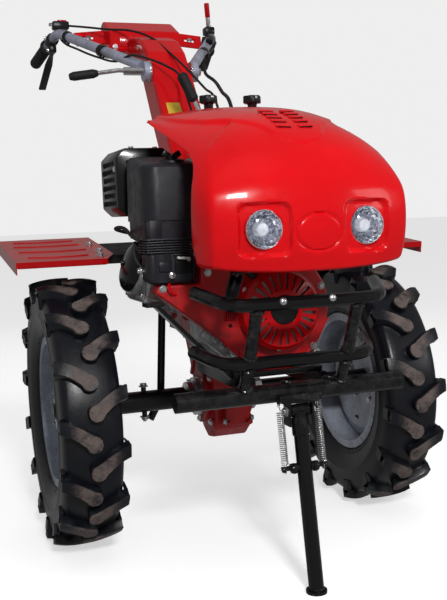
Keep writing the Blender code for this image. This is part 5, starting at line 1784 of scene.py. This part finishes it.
# Points along each cable from the chassis end to its handle.
CABLE_RUNS = {
    "clutch_cable": ((0.016, -0.060, 0.620), (0.016, -0.068, 0.700), (0.016, -0.058, 0.790),
                     (0.018, -0.030, 0.880),
                     (0.020, 0.030, 0.981), (0.022, 0.100, 1.012), (0.021, 0.200, 1.063),
                     (0.019, 0.280, 1.103), (0.003, 0.360, 1.152), (-0.013, 0.420, 1.190),
                     (-0.055, 0.500, 1.226),
                     (-0.105, 0.560, 1.240), (-0.150, 0.600, 1.252), (-0.205, 0.642, 1.264)),
    "throttle_cable": ((-0.022, -0.050, 0.620), (-0.020, -0.056, 0.710), (-0.015, -0.025, 0.810),
                       (-0.012, 0.060, 0.900),
                       (-0.012, 0.150, 1.010), (-0.005, 0.220, 1.064), (-0.030, 0.270, 1.096),
                       (-0.062, 0.310, 1.118), (-0.092, 0.352, 1.132), (-0.116, 0.420, 1.128),
                       (-0.150, 0.490, 1.150),
                       (-0.188, 0.560, 1.182), (-0.222, 0.625, 1.218), (-0.226, 0.645, 1.240)),
    "brake_cable": ((0.044, -0.060, 0.620), (0.044, -0.070, 0.710), (0.047, -0.056, 0.800),
                    (0.052, -0.020, 0.880),
                    (0.060, 0.030, 0.963), (0.082, 0.150, 1.012), (0.112, 0.290, 1.060),
                    (0.120, 0.380, 1.092), (0.143, 0.460, 1.128), (0.165, 0.540, 1.170),
                    (0.186, 0.600, 1.208),
                    (0.205, 0.640, 1.240)),
}


class TRACTOR_OT_cables(bpy.types.Operator):
    """Runs the three control cables from the handles down behind the hood"""

    bl_idname = "tractor.cables"
    bl_label = "Control cables"

    def execute(self, context):
        radius = context.scene.tractor_sizes.cable_diameter / 2
        for name, run in CABLE_RUNS.items():
            bm = bmesh.new()
            size = radius * (1.5 if name == "brake_cable" else 1.0)
            points = [at(*p) for p in run]
            pipe(bm, points, size, 12, smooth=True)
            mesh = bpy.data.meshes.new(name)
            bm.to_mesh(mesh)
            bm.free()
            mesh.shade_smooth()
            obj = shown(name, mesh, ["soft_rubber"])
            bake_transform(obj)
        return {"FINISHED"}


# ---------------------------------------------------------------- stage


class TRACTOR_OT_stage(bpy.types.Operator):
    """Lays the pale floor, hangs soft lights and sets the camera"""

    bl_idname = "tractor.stage"
    bl_label = "Stage"

    def execute(self, context):
        self.floor()
        self.lights(context)
        self.camera(context)
        return {"FINISHED"}

    def floor(self):
        bm = bmesh.new()
        bmesh.ops.create_grid(bm, x_segments=1, y_segments=1, size=60.0)
        mesh = bpy.data.meshes.new("floor")
        bm.to_mesh(mesh)
        bm.free()
        floor = shown("floor", mesh, ["floor"])
        mesh = bpy.data.meshes.new("backdrop")
        far, corners = 59.0, ((-1, -1), (1, -1), (1, 1), (-1, 1))
        ring = [(x * far, y * far, z) for z in (-1.0, 45.0) for x, y in corners]
        mesh.from_pydata(ring, [], [(k, (k + 1) % 4, (k + 1) % 4 + 4, k + 4) for k in range(4)])
        walls = shown("backdrop", mesh, ["backdrop"])
        for obj in (floor, walls):
            obj.visible_diffuse = obj.visible_glossy = False

    def lights(self, context):
        world = bpy.data.worlds.new("studio")
        world.use_nodes = True
        background = world.node_tree.nodes["Background"]
        background.inputs["Color"].default_value = (1.0, 1.0, 1.0, 1.0)
        background.inputs["Strength"].default_value = 0.26
        context.scene.world = world
        target = at(0.0, -0.1, 0.6)
        for name, place, power, size in (
            ("key", (-0.5, -3.6, 2.4), 88.0, 0.5),
            ("fill", (2.8, -2.6, 1.7), 16.0, 1.0),
            ("top", (-0.2, -1.4, 3.6), 14.0, 1.6),
            ("back", (0.8, 3.2, 2.6), 12.0, 1.6),
        ):
            light = bpy.data.lights.new(name, "AREA")
            light.energy = power
            light.size = size
            obj = bpy.data.objects.new(name, light)
            obj.location = at(*place)
            obj.rotation_euler = (target - obj.location).to_track_quat("-Z", "Y").to_euler()
            obj.visible_glossy = name in ("key", "fill")
            context.scene.collection.objects.link(obj)

    def camera(self, context):
        yaw, pitch, roll = math.radians(-19.234), math.radians(-5.258), math.radians(-2.289)
        camera = bpy.data.cameras.new("camera")
        camera.lens = 54.54
        camera.sensor_width = 36.0
        obj = bpy.data.objects.new("camera", camera)
        obj.location = at(-0.6848, -1.9972, 0.7062)
        look = Vector((-math.sin(yaw) * math.cos(pitch), math.cos(yaw) * math.cos(pitch), math.sin(pitch)))
        flat = Vector((math.cos(yaw), math.sin(yaw), 0.0))
        up = flat.cross(look)
        right = flat * math.cos(roll) + up * math.sin(roll)
        up = up * math.cos(roll) - flat * math.sin(roll)
        obj.rotation_euler = Matrix((right, up, -look)).transposed().to_euler()
        context.scene.collection.objects.link(obj)
        context.scene.camera = obj
        context.scene.view_settings.view_transform = "Standard"


# ---------------------------------------------------------------- finishes on the kept nodes

KEPT = {
    "panel_red": ["handlebar_column", "console"],
    "hood_red": ["hood"],
    "fender_red": ["right_fender", "left_fender"],
    "casting_red": ["gearbox_case", "gearbox_cap", "fan_shroud", "recoil_starter"],
    "matt_black": ["right_fender_bracket", "left_fender_bracket"],
    "sheet_black": ["hood_bracket", "engine_frame", "rear_hitch",
                    "right_frame_brace", "stand_bracket", "muffler", "fuel_tank", "valve_cover", "side_rod",
                    "right_hub_tube", "left_hub_tube"],
    "tube_black": ["guard_crossbar", "guard_lower_bar", "guard_upper_bar", "right_guard_post",
                   "left_guard_post",
                   "right_guard_stay", "left_guard_stay", "stand_leg"],
    "rim_paint": ["right_rim", "left_rim"],
    "handle_paint": ["right_handlebar", "left_handlebar"],
    "aluminium": ["engine_block", "cylinder_head"],
    "zinc": ["hitch_pin", "right_axle_collar", "left_axle_collar", "clamp_lever", "clamp_nut", "gear_lever",
             "right_stand_spring", "left_stand_spring"],
    "soft_rubber": ["right_grip", "left_grip", "clamp_lever_grip", "gear_lever_grip"],
    "knob_plastic": ["right_hood_knob", "left_hood_knob", "right_hand_lever"],
    "cover_plastic": ["air_cleaner", "carburettor_cover"],
    "glass": ["right_headlight", "left_headlight"],
}


class TRACTOR_OT_paint(bpy.types.Operator):
    """Mixes the finishes and paints the frame's own nodes with them"""

    bl_idname = "tractor.paint"
    bl_label = "Paint"

    def execute(self, context):
        mix_finishes(context.scene.tractor_colours)
        for finish, nodes in KEPT.items():
            for node in nodes:
                repaint(node, finish)
        repaint("left_hand_lever", "panel_red")
        return {"FINISHED"}


# ---------------------------------------------------------------- panel and registration


class TRACTOR_PT_panel(bpy.types.Panel):
    """Lists the tractor's sizes, colours and pieces"""

    bl_label = "Walking Tractor"
    bl_idname = "TRACTOR_PT_panel"
    bl_space_type = "VIEW_3D"
    bl_region_type = "UI"
    bl_category = "Tractor"

    def draw(self, context):
        for group in (context.scene.tractor_sizes, context.scene.tractor_colours):
            box = self.layout.box()
            for name in group.__annotations__:
                box.prop(group, name)
        column = self.layout.column(align=True)
        for operator in PIECES:
            column.operator(operator.bl_idname)


PIECES = (
    TRACTOR_OT_paint,
    TRACTOR_OT_tyres,
    TRACTOR_OT_wheel_fittings,
    TRACTOR_OT_hood,
    TRACTOR_OT_headlights,
    TRACTOR_OT_hood_knobs,
    TRACTOR_OT_starter,
    TRACTOR_OT_engine,
    TRACTOR_OT_covers,
    TRACTOR_OT_gearbox,
    TRACTOR_OT_guard,
    TRACTOR_OT_stand,
    TRACTOR_OT_fenders,
    TRACTOR_OT_handlebars,
    TRACTOR_OT_column,
    TRACTOR_OT_cables,
    TRACTOR_OT_stage,
)
CLASSES = (TractorSizes, TractorColours, *PIECES, TRACTOR_PT_panel)


def register():
    for item in CLASSES:
        bpy.utils.register_class(item)
    bpy.types.Scene.tractor_sizes = bpy.props.PointerProperty(type=TractorSizes)
    bpy.types.Scene.tractor_colours = bpy.props.PointerProperty(type=TractorColours)


def unregister():
    del bpy.types.Scene.tractor_sizes
    del bpy.types.Scene.tractor_colours
    for item in reversed(CLASSES):
        bpy.utils.unregister_class(item)


def main():
    register()
    for operator in PIECES:
        getattr(bpy.ops.tractor, operator.bl_idname.split(".")[1])()


if __name__ == "__main__":
    main()
